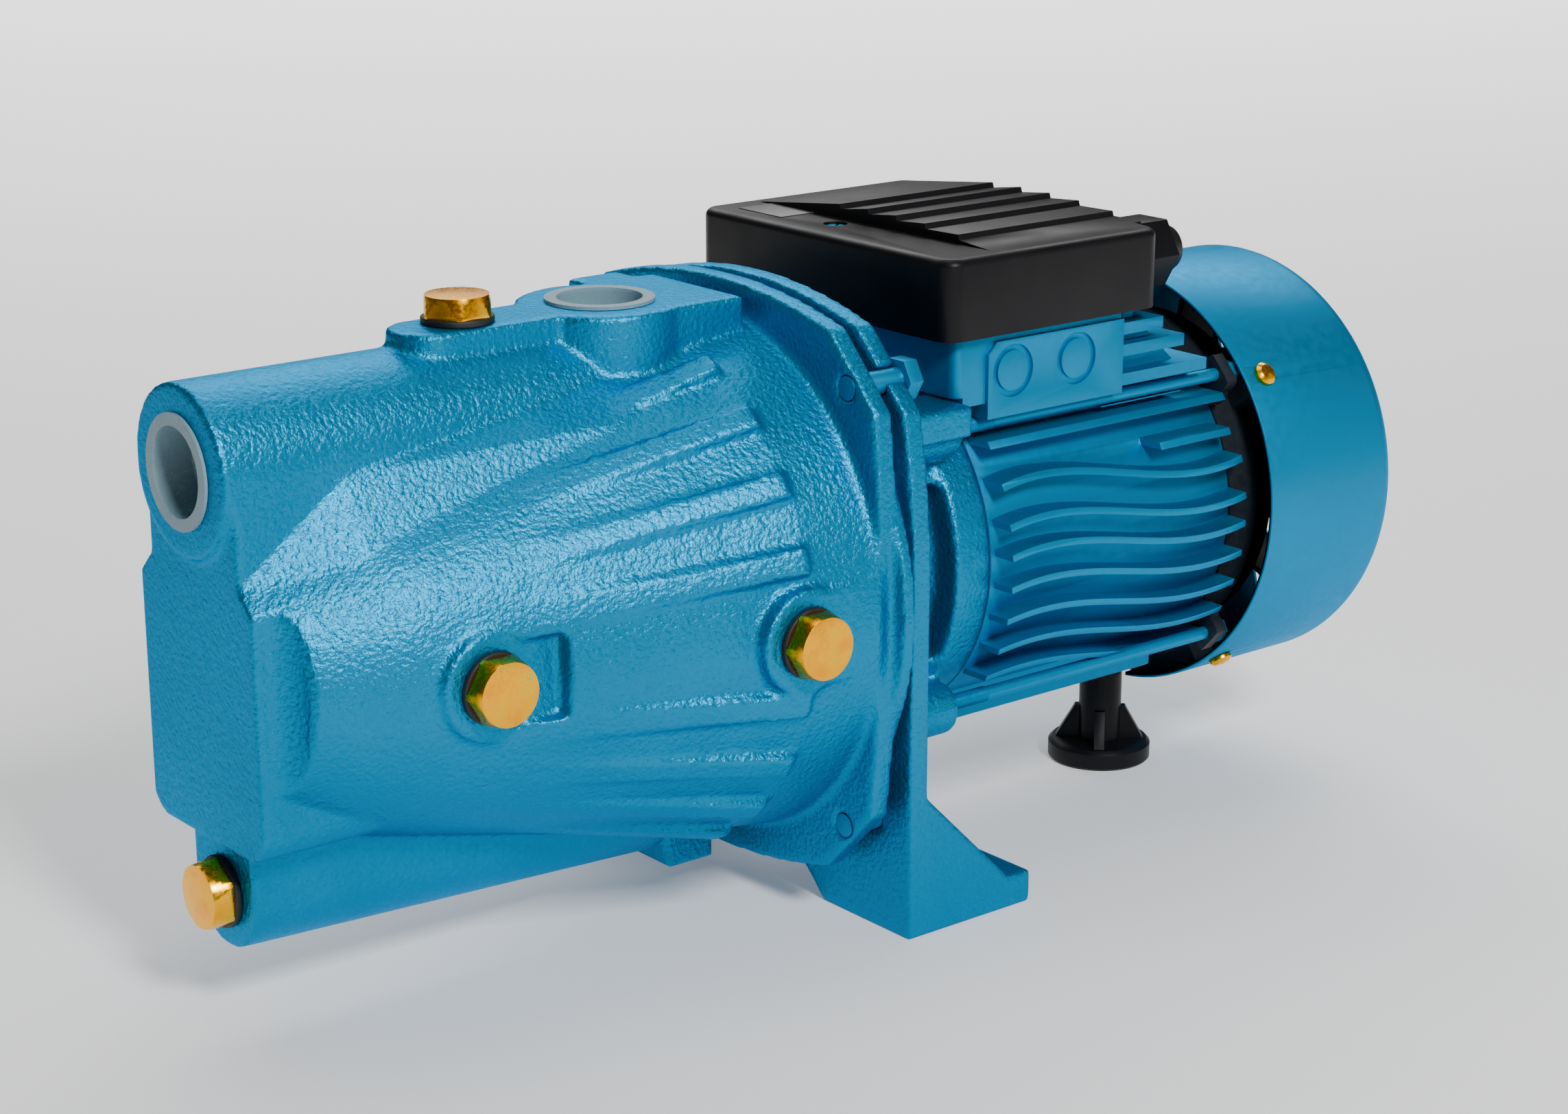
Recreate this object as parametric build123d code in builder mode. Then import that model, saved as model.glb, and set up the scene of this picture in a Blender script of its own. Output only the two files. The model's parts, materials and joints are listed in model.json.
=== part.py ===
from build123d import *
import math
import os

os.makedirs("parts", exist_ok=True)

# Self-priming jet centrifugal pump with G1 ports.
# Frame: +X from the suction end to the fan end, +Z up, origin on the floor midway between the two
# foot bolt holes. The shaft runs along X at SHAFT_Z.

# ---------------------------------------------------------------- driving dimensions (mm)
SHAFT_Z = 114.0

# casing, from the suction end to the flange
NOSE_X = -251.0
SUCTION_FACE_X = -254.0
SHOULDER_X = -250.5
SHOULDER_R = 43.9
CONE_X = -207.5
CONE_R = 59.0
RIB_END_X = -80.0
RIB_END_R = 88.0
FLANGE_X = -53.0
FLANGE_T = 8.0
BARREL_R = 91.0
RIM_R = 95.0
RIM_T = 5.0
RIM_END_X = -42.5
CASING_WALL = 6.0
SPIGOT_R = 80.0

# ports
PORT_R = 15.15
PORT_DEPTH = 26.0
DUCT_R = 27.2
DUCT_Z = 180.3
TOP_Z = 212.7
OUTLET_X = -98.35
OUTLET_R = 28.0
LIP_R = 18.25
LIP_HOLE_R = 15.6
LIP_T = 1.2

# hex plugs
PLUG_AF = 21.0
PLUG_HEAD = 6.8
PLUG_THREAD_R = 8.2
PLUG_THREAD_L = 11.0
PLUG_HOLE_R = 8.3
GASKET_T = 2.3
GASKET_R = 11.8
PRIMING_X = -153.5
DRAIN_X = -246.4
DRAIN_Z = 43.5
SIDE_PLUG_A_X = -185.0
SIDE_PLUG_A_Y = -63.0
SIDE_PLUG_B_X = -82.2
SIDE_PLUG_B_Y = -89.0
PLUG_BOSS_R = 17.5
PLUG_BOSS_DEPTH = 9.0

# casing bolts
BOLT_Y = 71.0
BOLT_Z = 75.0
BOLT_R = 4.0
BOLT_AF = 13.0
BOLT_HEAD = 5.5

# bracket and its feet
PLATE_X = -39.5
PLATE_T = 8.0
PLATE_END_X = PLATE_X + PLATE_T
HUB_HOLE_R = 30.0
FOOT_HALF = 90.0
FOOT_INNER = 44.0
FOOT_T = 11.5
FOOT_END_X = 16.7
FOOT_HOLE_Y = 70.0
FOOT_HOLE_R = 5.0
RING_X = 2.0
RING_END_X = 18.0
LANTERN_R = 65.5
LANTERN_BORE = 52.0
WINDOW_HALF = 31.0

# motor
FRAME_END_X = 136.0
FRAME_R = 65.0
FRAME_BORE = 60.0
FIN_TIP_R = 74.0
FIN_T = 2.4
TIE_Y = 55.3
TIE_Z = 49.4
TIE_R = 2.45
TIE_END_X = -10.0
SHIELD_END_X = 150.0
BASE_X = 2.0
BASE_END_X = 95.0
BASE_HALF = 62.5
BASE_TOP_Z = 195.0
BASE_LOW_Z = 172.0
BASE_SIDE_END_X = 80.0

# bearings, 17 x 40 x 12
BEARING_BORE_R = 8.5
BEARING_R = 20.0
BEARING_W = 12.0
BALL_R = 3.3
BALL_PITCH_R = 14.25
FRONT_BEARING_X = 2.0
REAR_BEARING_X = 124.0

# fan end
COVER_RIM_X = 142.9
COVER_R = 80.4
COVER_T = 1.6
COVER_END_X = 213.0
COVER_EDGE_R = 9.5
COVER_SCREW_X = 153.0
COVER_SCREW_R = 2.0
COVER_SCREW_ANGLES = [37 + 90 * k for k in range(4)]

# terminal box
BOX_X = -5.9
BOX_END_X = 94.4
BOX_HALF = 67.7
BOX_LOW_Z = 196.2
BOX_EDGE_Z = 224.0
BOX_CROWN_Z = 229.5
BOX_WALL = 2.6
BOX_FLOOR_Z = 183.0
LID_SCREW = (10.5, 10.0)
GLAND_Y = -42.0
GLAND_Z = 210.0
GLAND_AF = 26.0
GLAND_THREAD_R = 8.0

# rear support foot
REAR_FOOT_X = 138.4
REAR_FOOT_R = 19.85
REAR_FOOT_TOP_Z = 40.0
REAR_FOOT_PIN_R = 4.0

SHAFT_AXIS = Axis((0, 0, SHAFT_Z), (1, 0, 0))


# ---------------------------------------------------------------- planes and small helpers
def across(x):
    """A plane square to the shaft at station x: local x is +Y, local y is +Z from the shaft."""
    return Plane(origin=(x, 0, SHAFT_Z), x_dir=(0, 1, 0), z_dir=(1, 0, 0))


def radial_plane(angle):
    """A plane through the shaft axis: local x is +X, local y is outward, angle up from -Y."""
    turn = math.radians(angle)
    return Plane(origin=(0, 0, SHAFT_Z), x_dir=(1, 0, 0), z_dir=(0, -math.sin(turn), -math.cos(turn)))


AXIAL = radial_plane(90)
# seats of the four hex plugs, each with its z pointing out of the casing
PRIMING_SEAT = Plane(origin=(PRIMING_X, 0, TOP_Z), x_dir=(1, 0, 0), z_dir=(0, 0, 1))
DRAIN_SEAT = Plane(origin=(DRAIN_X, 0, DRAIN_Z), x_dir=(0, 0, 1), z_dir=(-1, 0, 0))
SIDE_SEATS = [
    Plane(origin=(SIDE_PLUG_A_X, SIDE_PLUG_A_Y, SHAFT_Z), x_dir=(1, 0, 0), z_dir=(0, -1, 0)),
    Plane(origin=(SIDE_PLUG_B_X, SIDE_PLUG_B_Y, SHAFT_Z), x_dir=(1, 0, 0), z_dir=(0, -1, 0)),
]


def hex_plug(seat):
    """A hex plug: a head with its outer corners turned off, and a plain shank for the thread."""
    with BuildPart() as plug:
        with BuildSketch(seat.offset(GASKET_T)):
            RegularPolygon(PLUG_AF / math.sqrt(3), 6)
        extrude(amount=PLUG_HEAD)
        with BuildSketch(seat.offset(GASKET_T + PLUG_HEAD)):
            Circle(PLUG_AF / 2 - 0.2)
        extrude(amount=-PLUG_HEAD, taper=-12, mode=Mode.INTERSECT)
        with BuildSketch(seat.offset(GASKET_T - PLUG_THREAD_L)):
            Circle(PLUG_THREAD_R)
        extrude(amount=PLUG_THREAD_L)
    return plug.part


def plug_gasket(seat):
    """A flat rubber ring between a plug's head and its boss."""
    with BuildPart() as gasket:
        with BuildSketch(seat):
            Circle(GASKET_R)
            Circle(PLUG_THREAD_R + 0.1, mode=Mode.SUBTRACT)
        extrude(amount=GASKET_T)
    return gasket.part


def port_cap(seat):
    """The flat lip of a plastic port cap: the cap's thin cup is open along the port's axis."""
    with BuildPart() as cap:
        with BuildSketch(seat):
            Circle(LIP_R)
            Circle(LIP_HOLE_R, mode=Mode.SUBTRACT)
        extrude(amount=LIP_T)
    return cap.part


def cover_screw_axis(angle):
    """The radial axis of a fan cover screw, angle up from -Y."""
    turn = math.radians(angle)
    return Axis((COVER_SCREW_X, 0, SHAFT_Z), (0, -math.cos(turn), math.sin(turn)))


def corners(y, z):
    """The four points at plus and minus y and z."""
    return [(side_y * y, side_z * z) for side_y in (-1, 1) for side_z in (-1, 1)]


# ---------------------------------------------------------------- pump casing
DUCT_H = DUCT_Z - SHAFT_Z
NOSE_HALF = 35.0
NOSE_LOW = -52.0
NOSE_SHOULDER = 27.6
NOSE_WAIST = 34.4
NOSE_CORNER_R = 9.5
NOSE_DEPTH = 56.0
TUBE_R = 18.6
TUBE_BORE = 12.0
TUBE_LEN = 161.0
TUBE_NECK = 30.0
SCOOP_X = -249.0
SCOOP_R = 10.0
SCOOP_TOP_Z = 38.0
SCOOP_LOW_Z = -46.0
TUBE_SLOPE = math.radians(2.5)
RIB_W = 8.8
RIB_H = 3.5
# stations of the blends beside the duct: x, the barrel's radius there, and the blend's height
BLENDS = [(-250.3, 43.9, 36.6), (-214, 56.7, 64.3), (-95, 84.6, 80.5)]
BLEND_DIP = 2.0
BLEND_HALF = DUCT_R - 0.6
# rib angles up from -Y, and where each one rises out of the barrel
RIBS = [(65, -138), (49, -172), (33, -174), (17, -177), (-14, -177), (-30, -174), (-46, -172), (-62, -170)]


def barrel_radius(x):
    """Outer radius of the casing's cone at station x."""
    return CONE_R + (x - CONE_X) * (RIB_END_R - CONE_R) / (RIB_END_X - CONE_X)


def blend_foot(round_r, top_z):
    """Where the flat from the duct's side at that height touches a circle round the shaft."""
    reach = math.hypot(DUCT_R, top_z)
    angle = math.atan2(top_z, DUCT_R) - math.acos(min(1, round_r / reach))
    return round_r * math.cos(angle), round_r * math.sin(angle)


def blends():
    """A wedge under the duct whose flanks run from the duct's sides down to touch the barrel."""
    rings = []
    for station_x, round_r, top_z in BLENDS:
        foot_y, foot_z = blend_foot(round_r - BLEND_DIP, top_z)
        outline = [(0, 0), (foot_y, foot_z), (BLEND_HALF, top_z), (-BLEND_HALF, top_z), (-foot_y, foot_z)]
        rings.append([(station_x, y, SHAFT_Z + z) for y, z in outline])
    faces = [Face(Wire.make_polygon(rings[0])), Face(Wire.make_polygon(rings[-1]))]
    for here, after in zip(rings, rings[1:]):
        for index in range(5):
            follow = (index + 1) % 5
            faces.append(Face(Wire.make_polygon([here[index], after[index], after[follow]])))
            faces.append(Face(Wire.make_polygon([here[index], after[follow], here[follow]])))
    return Solid(Shell(faces))


with BuildPart() as pump_casing:
    # shoulder and cone round the shaft
    with BuildSketch(AXIAL):
        with BuildLine():
            Line((SHOULDER_X, 0), (SHOULDER_X, SHOULDER_R))
            Line((SHOULDER_X, SHOULDER_R), (CONE_X, CONE_R))
            Line((CONE_X, CONE_R), (RIB_END_X, RIB_END_R))
            Line((RIB_END_X, RIB_END_R), (FLANGE_X, BARREL_R))
            Line((FLANGE_X, BARREL_R), (FLANGE_X, 0))
            Line((FLANGE_X, 0), (SHOULDER_X, 0))
        make_face()
    revolve(axis=SHAFT_AXIS)
    # flange with slightly bowed sides, and the round rim behind it
    with BuildSketch(across(FLANGE_X)):
        with BuildLine():
            ThreePointArc((-62, 92.6), (0, 101.5), (62, 92.6))
            Line((62, 92.6), (85, 68.6))
            ThreePointArc((85, 68.6), (89.5, 0), (85, -68.6))
            Line((85, -68.6), (62, -92.6))
            ThreePointArc((62, -92.6), (0, -101.5), (-62, -92.6))
            Line((-62, -92.6), (-85, -68.6))
            ThreePointArc((-85, -68.6), (-89.5, 0), (-85, 68.6))
            Line((-85, 68.6), (-62, 92.6))
        make_face()
    extrude(amount=FLANGE_T)
    with BuildSketch(across(RIM_END_X)):
        Circle(RIM_R)
    extrude(amount=-RIM_T)
    # nose block with a waist, and the round-topped suction duct above it
    with BuildSketch(across(NOSE_X)):
        with BuildLine():
            Polyline(
                (DUCT_R, DUCT_H),
                (DUCT_R, NOSE_WAIST),
                (NOSE_HALF, NOSE_SHOULDER),
                (NOSE_HALF, NOSE_LOW),
                (-NOSE_HALF, NOSE_LOW),
                (-NOSE_HALF, NOSE_SHOULDER),
                (-DUCT_R, NOSE_WAIST),
                (-DUCT_R, DUCT_H),
            )
            ThreePointArc((-DUCT_R, DUCT_H), (0, DUCT_H + DUCT_R), (DUCT_R, DUCT_H))
        make_face()
        fillet(vertices().group_by(Axis.Y)[0], NOSE_CORNER_R)
    extrude(amount=NOSE_DEPTH)
    with BuildSketch(across(NOSE_X)):
        with Locations((0, DUCT_H)):
            Circle(DUCT_R)
        with Locations((0, DUCT_H / 2 + 6)):
            Rectangle(2 * DUCT_R, DUCT_H - 12)
    extrude(amount=OUTLET_X - NOSE_X)
    # tangent blends from the barrel up to the sides of the duct
    add(blends())
    # scoops that clear the sides of the nose block
    with BuildSketch(Plane.XY.offset(SHAFT_Z + SCOOP_LOW_Z)) as scoops:
        with BuildLine():
            Line((NOSE_X - 5, NOSE_HALF - 0.2), (SCOOP_X, NOSE_HALF - 0.2))
            RadiusArc((SCOOP_X, NOSE_HALF - 0.2), (SCOOP_X + SCOOP_R, NOSE_HALF + SCOOP_R), -SCOOP_R - 0.2)
            Line((SCOOP_X + SCOOP_R, NOSE_HALF + SCOOP_R), (SCOOP_X + SCOOP_R, 70))
            Line((SCOOP_X + SCOOP_R, 70), (NOSE_X - 5, 70))
            Line((NOSE_X - 5, 70), (NOSE_X - 5, NOSE_HALF - 0.2))
        make_face()
        mirror(about=Plane.XZ)
    extrude(amount=SCOOP_TOP_Z - SCOOP_LOW_Z, mode=Mode.SUBTRACT)
    # suction boss
    with BuildSketch(across(SUCTION_FACE_X)):
        with Locations((0, DUCT_H)):
            Circle(DUCT_R)
    extrude(amount=NOSE_X - SUCTION_FACE_X)
    # return tube under the barrel, sloping down to the flange, with the drain plug in its end
    with BuildSketch(across(DRAIN_X)):
        with Locations((0, DRAIN_Z - SHAFT_Z)):
            Circle(TUBE_R)
        with Locations((0, DRAIN_Z + TUBE_NECK / 2 - SHAFT_Z)):
            Rectangle(2 * TUBE_R, TUBE_NECK)
    extrude(amount=TUBE_LEN, dir=(math.cos(TUBE_SLOPE), 0, -math.sin(TUBE_SLOPE)))
    # pad under the barrel where the tube ends
    with Locations((-73, 0, 25)):
        Box(20, 26, 24)
    # priming pad, outlet boss and the wide pad behind it, all to one machined top
    with BuildSketch(Plane.XY.offset(DUCT_Z)):
        with Locations((-165, 0)):
            Circle(13)
        with Locations(((-165 + OUTLET_X) / 2, 0)):
            Rectangle(OUTLET_X + 165, 26)
        with Locations((OUTLET_X, 0)):
            Circle(OUTLET_R)
        with Locations((-84, 0)):
            Rectangle(52, 50)
        with Locations((-75.5, 28)):
            Rectangle(21, 16)
    extrude(amount=TOP_Z - DUCT_Z)
    with BuildSketch(Plane.XY.offset(SHAFT_Z + 30)):
        with Locations((OUTLET_X, 0)):
            Circle(OUTLET_R)
    extrude(amount=TOP_Z - SHAFT_Z - 30)
    # ribs that rise out of the cone and end square
    for angle, start_x in RIBS:
        for plane_angle in (angle, 180 - angle):
            with BuildSketch(radial_plane(plane_angle)):
                with BuildLine():
                    Polyline(
                        (start_x, barrel_radius(start_x) - 0.4),
                        (RIB_END_X - 2, RIB_END_R + RIB_H),
                        (RIB_END_X, RIB_END_R + RIB_H - 1.5),
                        (RIB_END_X, RIB_END_R - 6),
                        (start_x, barrel_radius(start_x) - 6),
                        close=True,
                    )
                make_face()
            extrude(amount=RIB_W / 2, both=True)
    # discharge chamber inside the barrel, and the bore for the seal plate
    with BuildSketch(AXIAL):
        with BuildLine():
            Polyline(
                (-203, 0),
                (-203, CONE_R - CASING_WALL),
                (-84, SPIGOT_R),
                (RIM_END_X, SPIGOT_R),
                (RIM_END_X, 0),
                close=True,
            )
        make_face()
    revolve(axis=SHAFT_AXIS, mode=Mode.SUBTRACT)
    # bosses of the two side plugs, thick enough for their threads, with spot faces
    with BuildSketch(SIDE_SEATS[0]):
        Circle(PLUG_BOSS_R)
        with Locations((14, 0)):
            Rectangle(28, 2 * PLUG_BOSS_R - 4)
    extrude(amount=-PLUG_BOSS_DEPTH)
    with BuildSketch(SIDE_SEATS[0]):
        Circle(PLUG_BOSS_R)
        with Locations((12, 0)):
            Rectangle(24, 2 * PLUG_BOSS_R - 8)
    extrude(amount=20, mode=Mode.SUBTRACT)
    with BuildSketch(SIDE_SEATS[1]):
        Circle(PLUG_BOSS_R)
        with Locations((12, 0)):
            Rectangle(34, 2 * PLUG_BOSS_R - 4)
    extrude(amount=-PLUG_BOSS_DEPTH)
    with BuildSketch(SIDE_SEATS[1]):
        Circle(PLUG_BOSS_R)
    extrude(amount=20, mode=Mode.SUBTRACT)
    # pressure pocket behind the nose plate, fed by the return tube
    with Locations((-240, 0, 85)):
        Box(12, 24, 82, mode=Mode.SUBTRACT)
    with BuildSketch(across(-246)):
        with Locations((0, DRAIN_Z - SHAFT_Z)):
            Circle(TUBE_BORE)
    extrude(amount=TUBE_LEN - 6, dir=(math.cos(TUBE_SLOPE), 0, -math.sin(TUBE_SLOPE)), mode=Mode.SUBTRACT)
    with Locations((-102, 0, 42)):
        Box(18, 16, 16, mode=Mode.SUBTRACT)
    # suction chamber between the nozzle wall and the venturi wall, up to the suction port
    with Locations((-218, 0, 146)):
        Box(20, 28, 92, mode=Mode.SUBTRACT)
    with BuildSketch(across(SUCTION_FACE_X)):
        with Locations((0, DUCT_H)):
            Circle(PORT_R)
    extrude(amount=PORT_DEPTH, mode=Mode.SUBTRACT)
    with BuildSketch(across(-235)):
        Circle(9)
    extrude(amount=8, mode=Mode.SUBTRACT)
    with BuildSketch(across(-209)):
        Circle(13)
    extrude(amount=8, mode=Mode.SUBTRACT)
    # discharge port
    with BuildSketch(Plane.XY.offset(TOP_Z)):
        with Locations((OUTLET_X, 0)):
            Circle(PORT_R)
    extrude(amount=-50, mode=Mode.SUBTRACT)
    # threaded holes of the hex plugs and of the casing bolts
    for seat in [PRIMING_SEAT] + SIDE_SEATS:
        with BuildSketch(seat):
            Circle(PLUG_HOLE_R)
        extrude(amount=-42, mode=Mode.SUBTRACT)
    with BuildSketch(DRAIN_SEAT):
        Circle(PLUG_HOLE_R)
    extrude(amount=-14, mode=Mode.SUBTRACT)
    with BuildSketch(across(FLANGE_X)):
        with Locations(*corners(BOLT_Y, BOLT_Z)):
            Circle(BOLT_R + 0.1)
    extrude(amount=FLANGE_T + 3, mode=Mode.SUBTRACT)
pump_casing.part.label = "pump_casing"
export_step(pump_casing.part, "parts/pump_casing.step")


# ---------------------------------------------------------------- port caps and plugs
SUCTION_SEAT = Plane(origin=(SUCTION_FACE_X, 0, DUCT_Z), x_dir=(0, 0, 1), z_dir=(-1, 0, 0))
DISCHARGE_SEAT = Plane(origin=(OUTLET_X, 0, TOP_Z), x_dir=(1, 0, 0), z_dir=(0, 0, 1))

with BuildPart() as suction_port_cap:
    add(port_cap(SUCTION_SEAT))
suction_port_cap.part.label = "suction_port_cap"
export_step(suction_port_cap.part, "parts/suction_port_cap.step")

with BuildPart() as discharge_port_cap:
    add(port_cap(DISCHARGE_SEAT))
discharge_port_cap.part.label = "discharge_port_cap"
export_step(discharge_port_cap.part, "parts/discharge_port_cap.step")

with BuildPart() as priming_plug:
    add(hex_plug(PRIMING_SEAT))
priming_plug.part.label = "priming_plug"
export_step(priming_plug.part, "parts/priming_plug.step")

with BuildPart() as priming_gasket:
    add(plug_gasket(PRIMING_SEAT))
priming_gasket.part.label = "priming_gasket"
export_step(priming_gasket.part, "parts/priming_gasket.step")

with BuildPart() as drain_plug:
    add(hex_plug(DRAIN_SEAT))
drain_plug.part.label = "drain_plug"
export_step(drain_plug.part, "parts/drain_plug.step")

with BuildPart() as drain_gasket:
    add(plug_gasket(DRAIN_SEAT))
drain_gasket.part.label = "drain_gasket"
export_step(drain_gasket.part, "parts/drain_gasket.step")

with BuildPart() as side_plugs:
    for seat in SIDE_SEATS:
        add(hex_plug(seat))
side_plugs.part.label = "side_plugs"
export_step(side_plugs.part, "parts/side_plugs.step")

with BuildPart() as side_plug_gaskets:
    for seat in SIDE_SEATS:
        add(plug_gasket(seat))
side_plug_gaskets.part.label = "side_plug_gaskets"
export_step(side_plug_gaskets.part, "parts/side_plug_gaskets.step")


# ---------------------------------------------------------------- ejector and diffuser
NOZZLE_WALL_X = -234.0
VENTURI_WALL_X = -208.0
DIFFUSER_X = -80.0
DIFFUSER_R = 72.0
SEAL_PLATE_FACE_X = -56.0
EYE_BORE_R = 20.5
SOCKET_R = 14.0

with BuildPart() as ejector_nozzle:
    # flange against the nozzle wall, a shank through it, and a cone towards the venturi
    with BuildSketch(AXIAL):
        with BuildLine():
            Polyline(
                (NOZZLE_WALL_X - 2.5, 5.2),
                (NOZZLE_WALL_X - 2.5, 11.5),
                (NOZZLE_WALL_X - 0.05, 11.5),
                (NOZZLE_WALL_X - 0.05, 8.95),
                (NOZZLE_WALL_X + 6, 8.95),
                (NOZZLE_WALL_X + 13, 8.0),
                (NOZZLE_WALL_X + 24, 5.0),
                (NOZZLE_WALL_X + 24, 3.2),
                close=True,
            )
        make_face()
    revolve(axis=SHAFT_AXIS)
ejector_nozzle.part.label = "ejector_nozzle"
export_step(ejector_nozzle.part, "parts/ejector_nozzle.step")

with BuildPart() as venturi_tube:
    # bell mouth at the suction chamber, throat, then a slow taper to the diffuser's socket
    with BuildSketch(AXIAL):
        with BuildLine():
            Polyline(
                (VENTURI_WALL_X, 10.5),
                (VENTURI_WALL_X, 12.9),
                (VENTURI_WALL_X + 5.1, 12.9),
                (VENTURI_WALL_X + 5.1, 15.5),
                (VENTURI_WALL_X + 9, 15.5),
                (VENTURI_WALL_X + 14, 11.5),
                (DIFFUSER_X - 24, 13.9),
                (DIFFUSER_X - 5, 13.9),
                (DIFFUSER_X - 5, 12.0),
                (VENTURI_WALL_X + 40, 6.0),
                (VENTURI_WALL_X + 12, 6.0),
                close=True,
            )
        make_face()
    revolve(axis=SHAFT_AXIS)
venturi_tube.part.label = "venturi_tube"
export_step(venturi_tube.part, "parts/venturi_tube.step")

with BuildPart() as diffuser:
    # socket for the venturi, front wall with the impeller's eye, and the outer ring
    with BuildSketch(AXIAL):
        with BuildLine():
            Polyline(
                (DIFFUSER_X - 20, SOCKET_R),
                (DIFFUSER_X - 20, SOCKET_R + 3),
                (DIFFUSER_X - 4, EYE_BORE_R + 4),
                (DIFFUSER_X - 4, 55),
                (DIFFUSER_X + 2, DIFFUSER_R),
                (SEAL_PLATE_FACE_X, DIFFUSER_R),
                (SEAL_PLATE_FACE_X, DIFFUSER_R - 3),
                (DIFFUSER_X + 4, DIFFUSER_R - 4),
                (DIFFUSER_X + 1, 54),
                (DIFFUSER_X + 1, EYE_BORE_R),
                (DIFFUSER_X - 3.5, EYE_BORE_R),
                (DIFFUSER_X - 3.5, SOCKET_R),
                close=True,
            )
        make_face()
    revolve(axis=SHAFT_AXIS)
    # guide vanes round the impeller
    with BuildSketch(across(DIFFUSER_X + 2)):
        with PolarLocations(64.2, 8):
            SlotOverall(10, 2.4, rotation=62)
    extrude(amount=SEAL_PLATE_FACE_X - DIFFUSER_X - 2)
    # outlet slots through the ring
    with BuildSketch(across(DIFFUSER_X + 8)):
        with PolarLocations(DIFFUSER_R - 1, 8, start_angle=22.5):
            Rectangle(9, 12)
    extrude(amount=10, mode=Mode.SUBTRACT)
diffuser.part.label = "diffuser"
export_step(diffuser.part, "parts/diffuser.step")


# ---------------------------------------------------------------- seal plate between casing and bracket
SEAL_SEAT_X = -49.0
SEAL_SEAT_R = 13.0

with BuildPart() as seal_plate:
    with BuildSketch(AXIAL):
        with BuildLine():
            Polyline(
                (SEAL_PLATE_FACE_X, 17.5),
                (SEAL_PLATE_FACE_X, SPIGOT_R - 0.1),
                (RIM_END_X, SPIGOT_R - 0.1),
                (RIM_END_X, 86),
                (PLATE_X, 86),
                (PLATE_X, 74),
                (SEAL_PLATE_FACE_X + 7, 72),
                (SEAL_PLATE_FACE_X + 7, 32),
                (PLATE_X, HUB_HOLE_R - 0.1),
                (PLATE_END_X - 2, HUB_HOLE_R - 0.1),
                (PLATE_END_X - 2, 9.5),
                (SEAL_SEAT_X + 7, 9.5),
                (SEAL_SEAT_X + 7, SEAL_SEAT_R),
                (SEAL_SEAT_X, SEAL_SEAT_R),
                (SEAL_SEAT_X, 17.5),
                close=True,
            )
        make_face()
    revolve(axis=SHAFT_AXIS)
    # groove for the O-ring
    with BuildSketch(across(-51.5)):
        Circle(SPIGOT_R)
        Circle(76.6, mode=Mode.SUBTRACT)
    extrude(amount=4.4, mode=Mode.SUBTRACT)
seal_plate.part.label = "seal_plate"
export_step(seal_plate.part, "parts/seal_plate.step")

with BuildPart() as casing_o_ring:
    with BuildSketch(AXIAL):
        with Locations((-49.3, 78.3)):
            Circle(1.65)
    revolve(axis=SHAFT_AXIS)
casing_o_ring.part.label = "casing_o_ring"
export_step(casing_o_ring.part, "parts/casing_o_ring.step")

with BuildPart() as casing_bolts:
    with BuildSketch(across(FLANGE_X + 0.5)):
        with Locations(*corners(BOLT_Y, BOLT_Z)):
            Circle(BOLT_R)
    extrude(amount=PLATE_END_X - FLANGE_X - 0.5)
    with BuildSketch(across(PLATE_END_X)):
        with Locations(*corners(BOLT_Y, BOLT_Z)):
            RegularPolygon(BOLT_AF / math.sqrt(3), 6)
    extrude(amount=BOLT_HEAD)
casing_bolts.part.label = "casing_bolts"
export_step(casing_bolts.part, "parts/casing_bolts.step")


# ---------------------------------------------------------------- motor bracket
LEG_ARCH_Z = 22.0
GUSSET_T = 8.0
GUSSET_LOW_X = 6.3
TIE_LUG_X = 5.0
GUSSET_TOP = (-31.3, 48.8)

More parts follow.
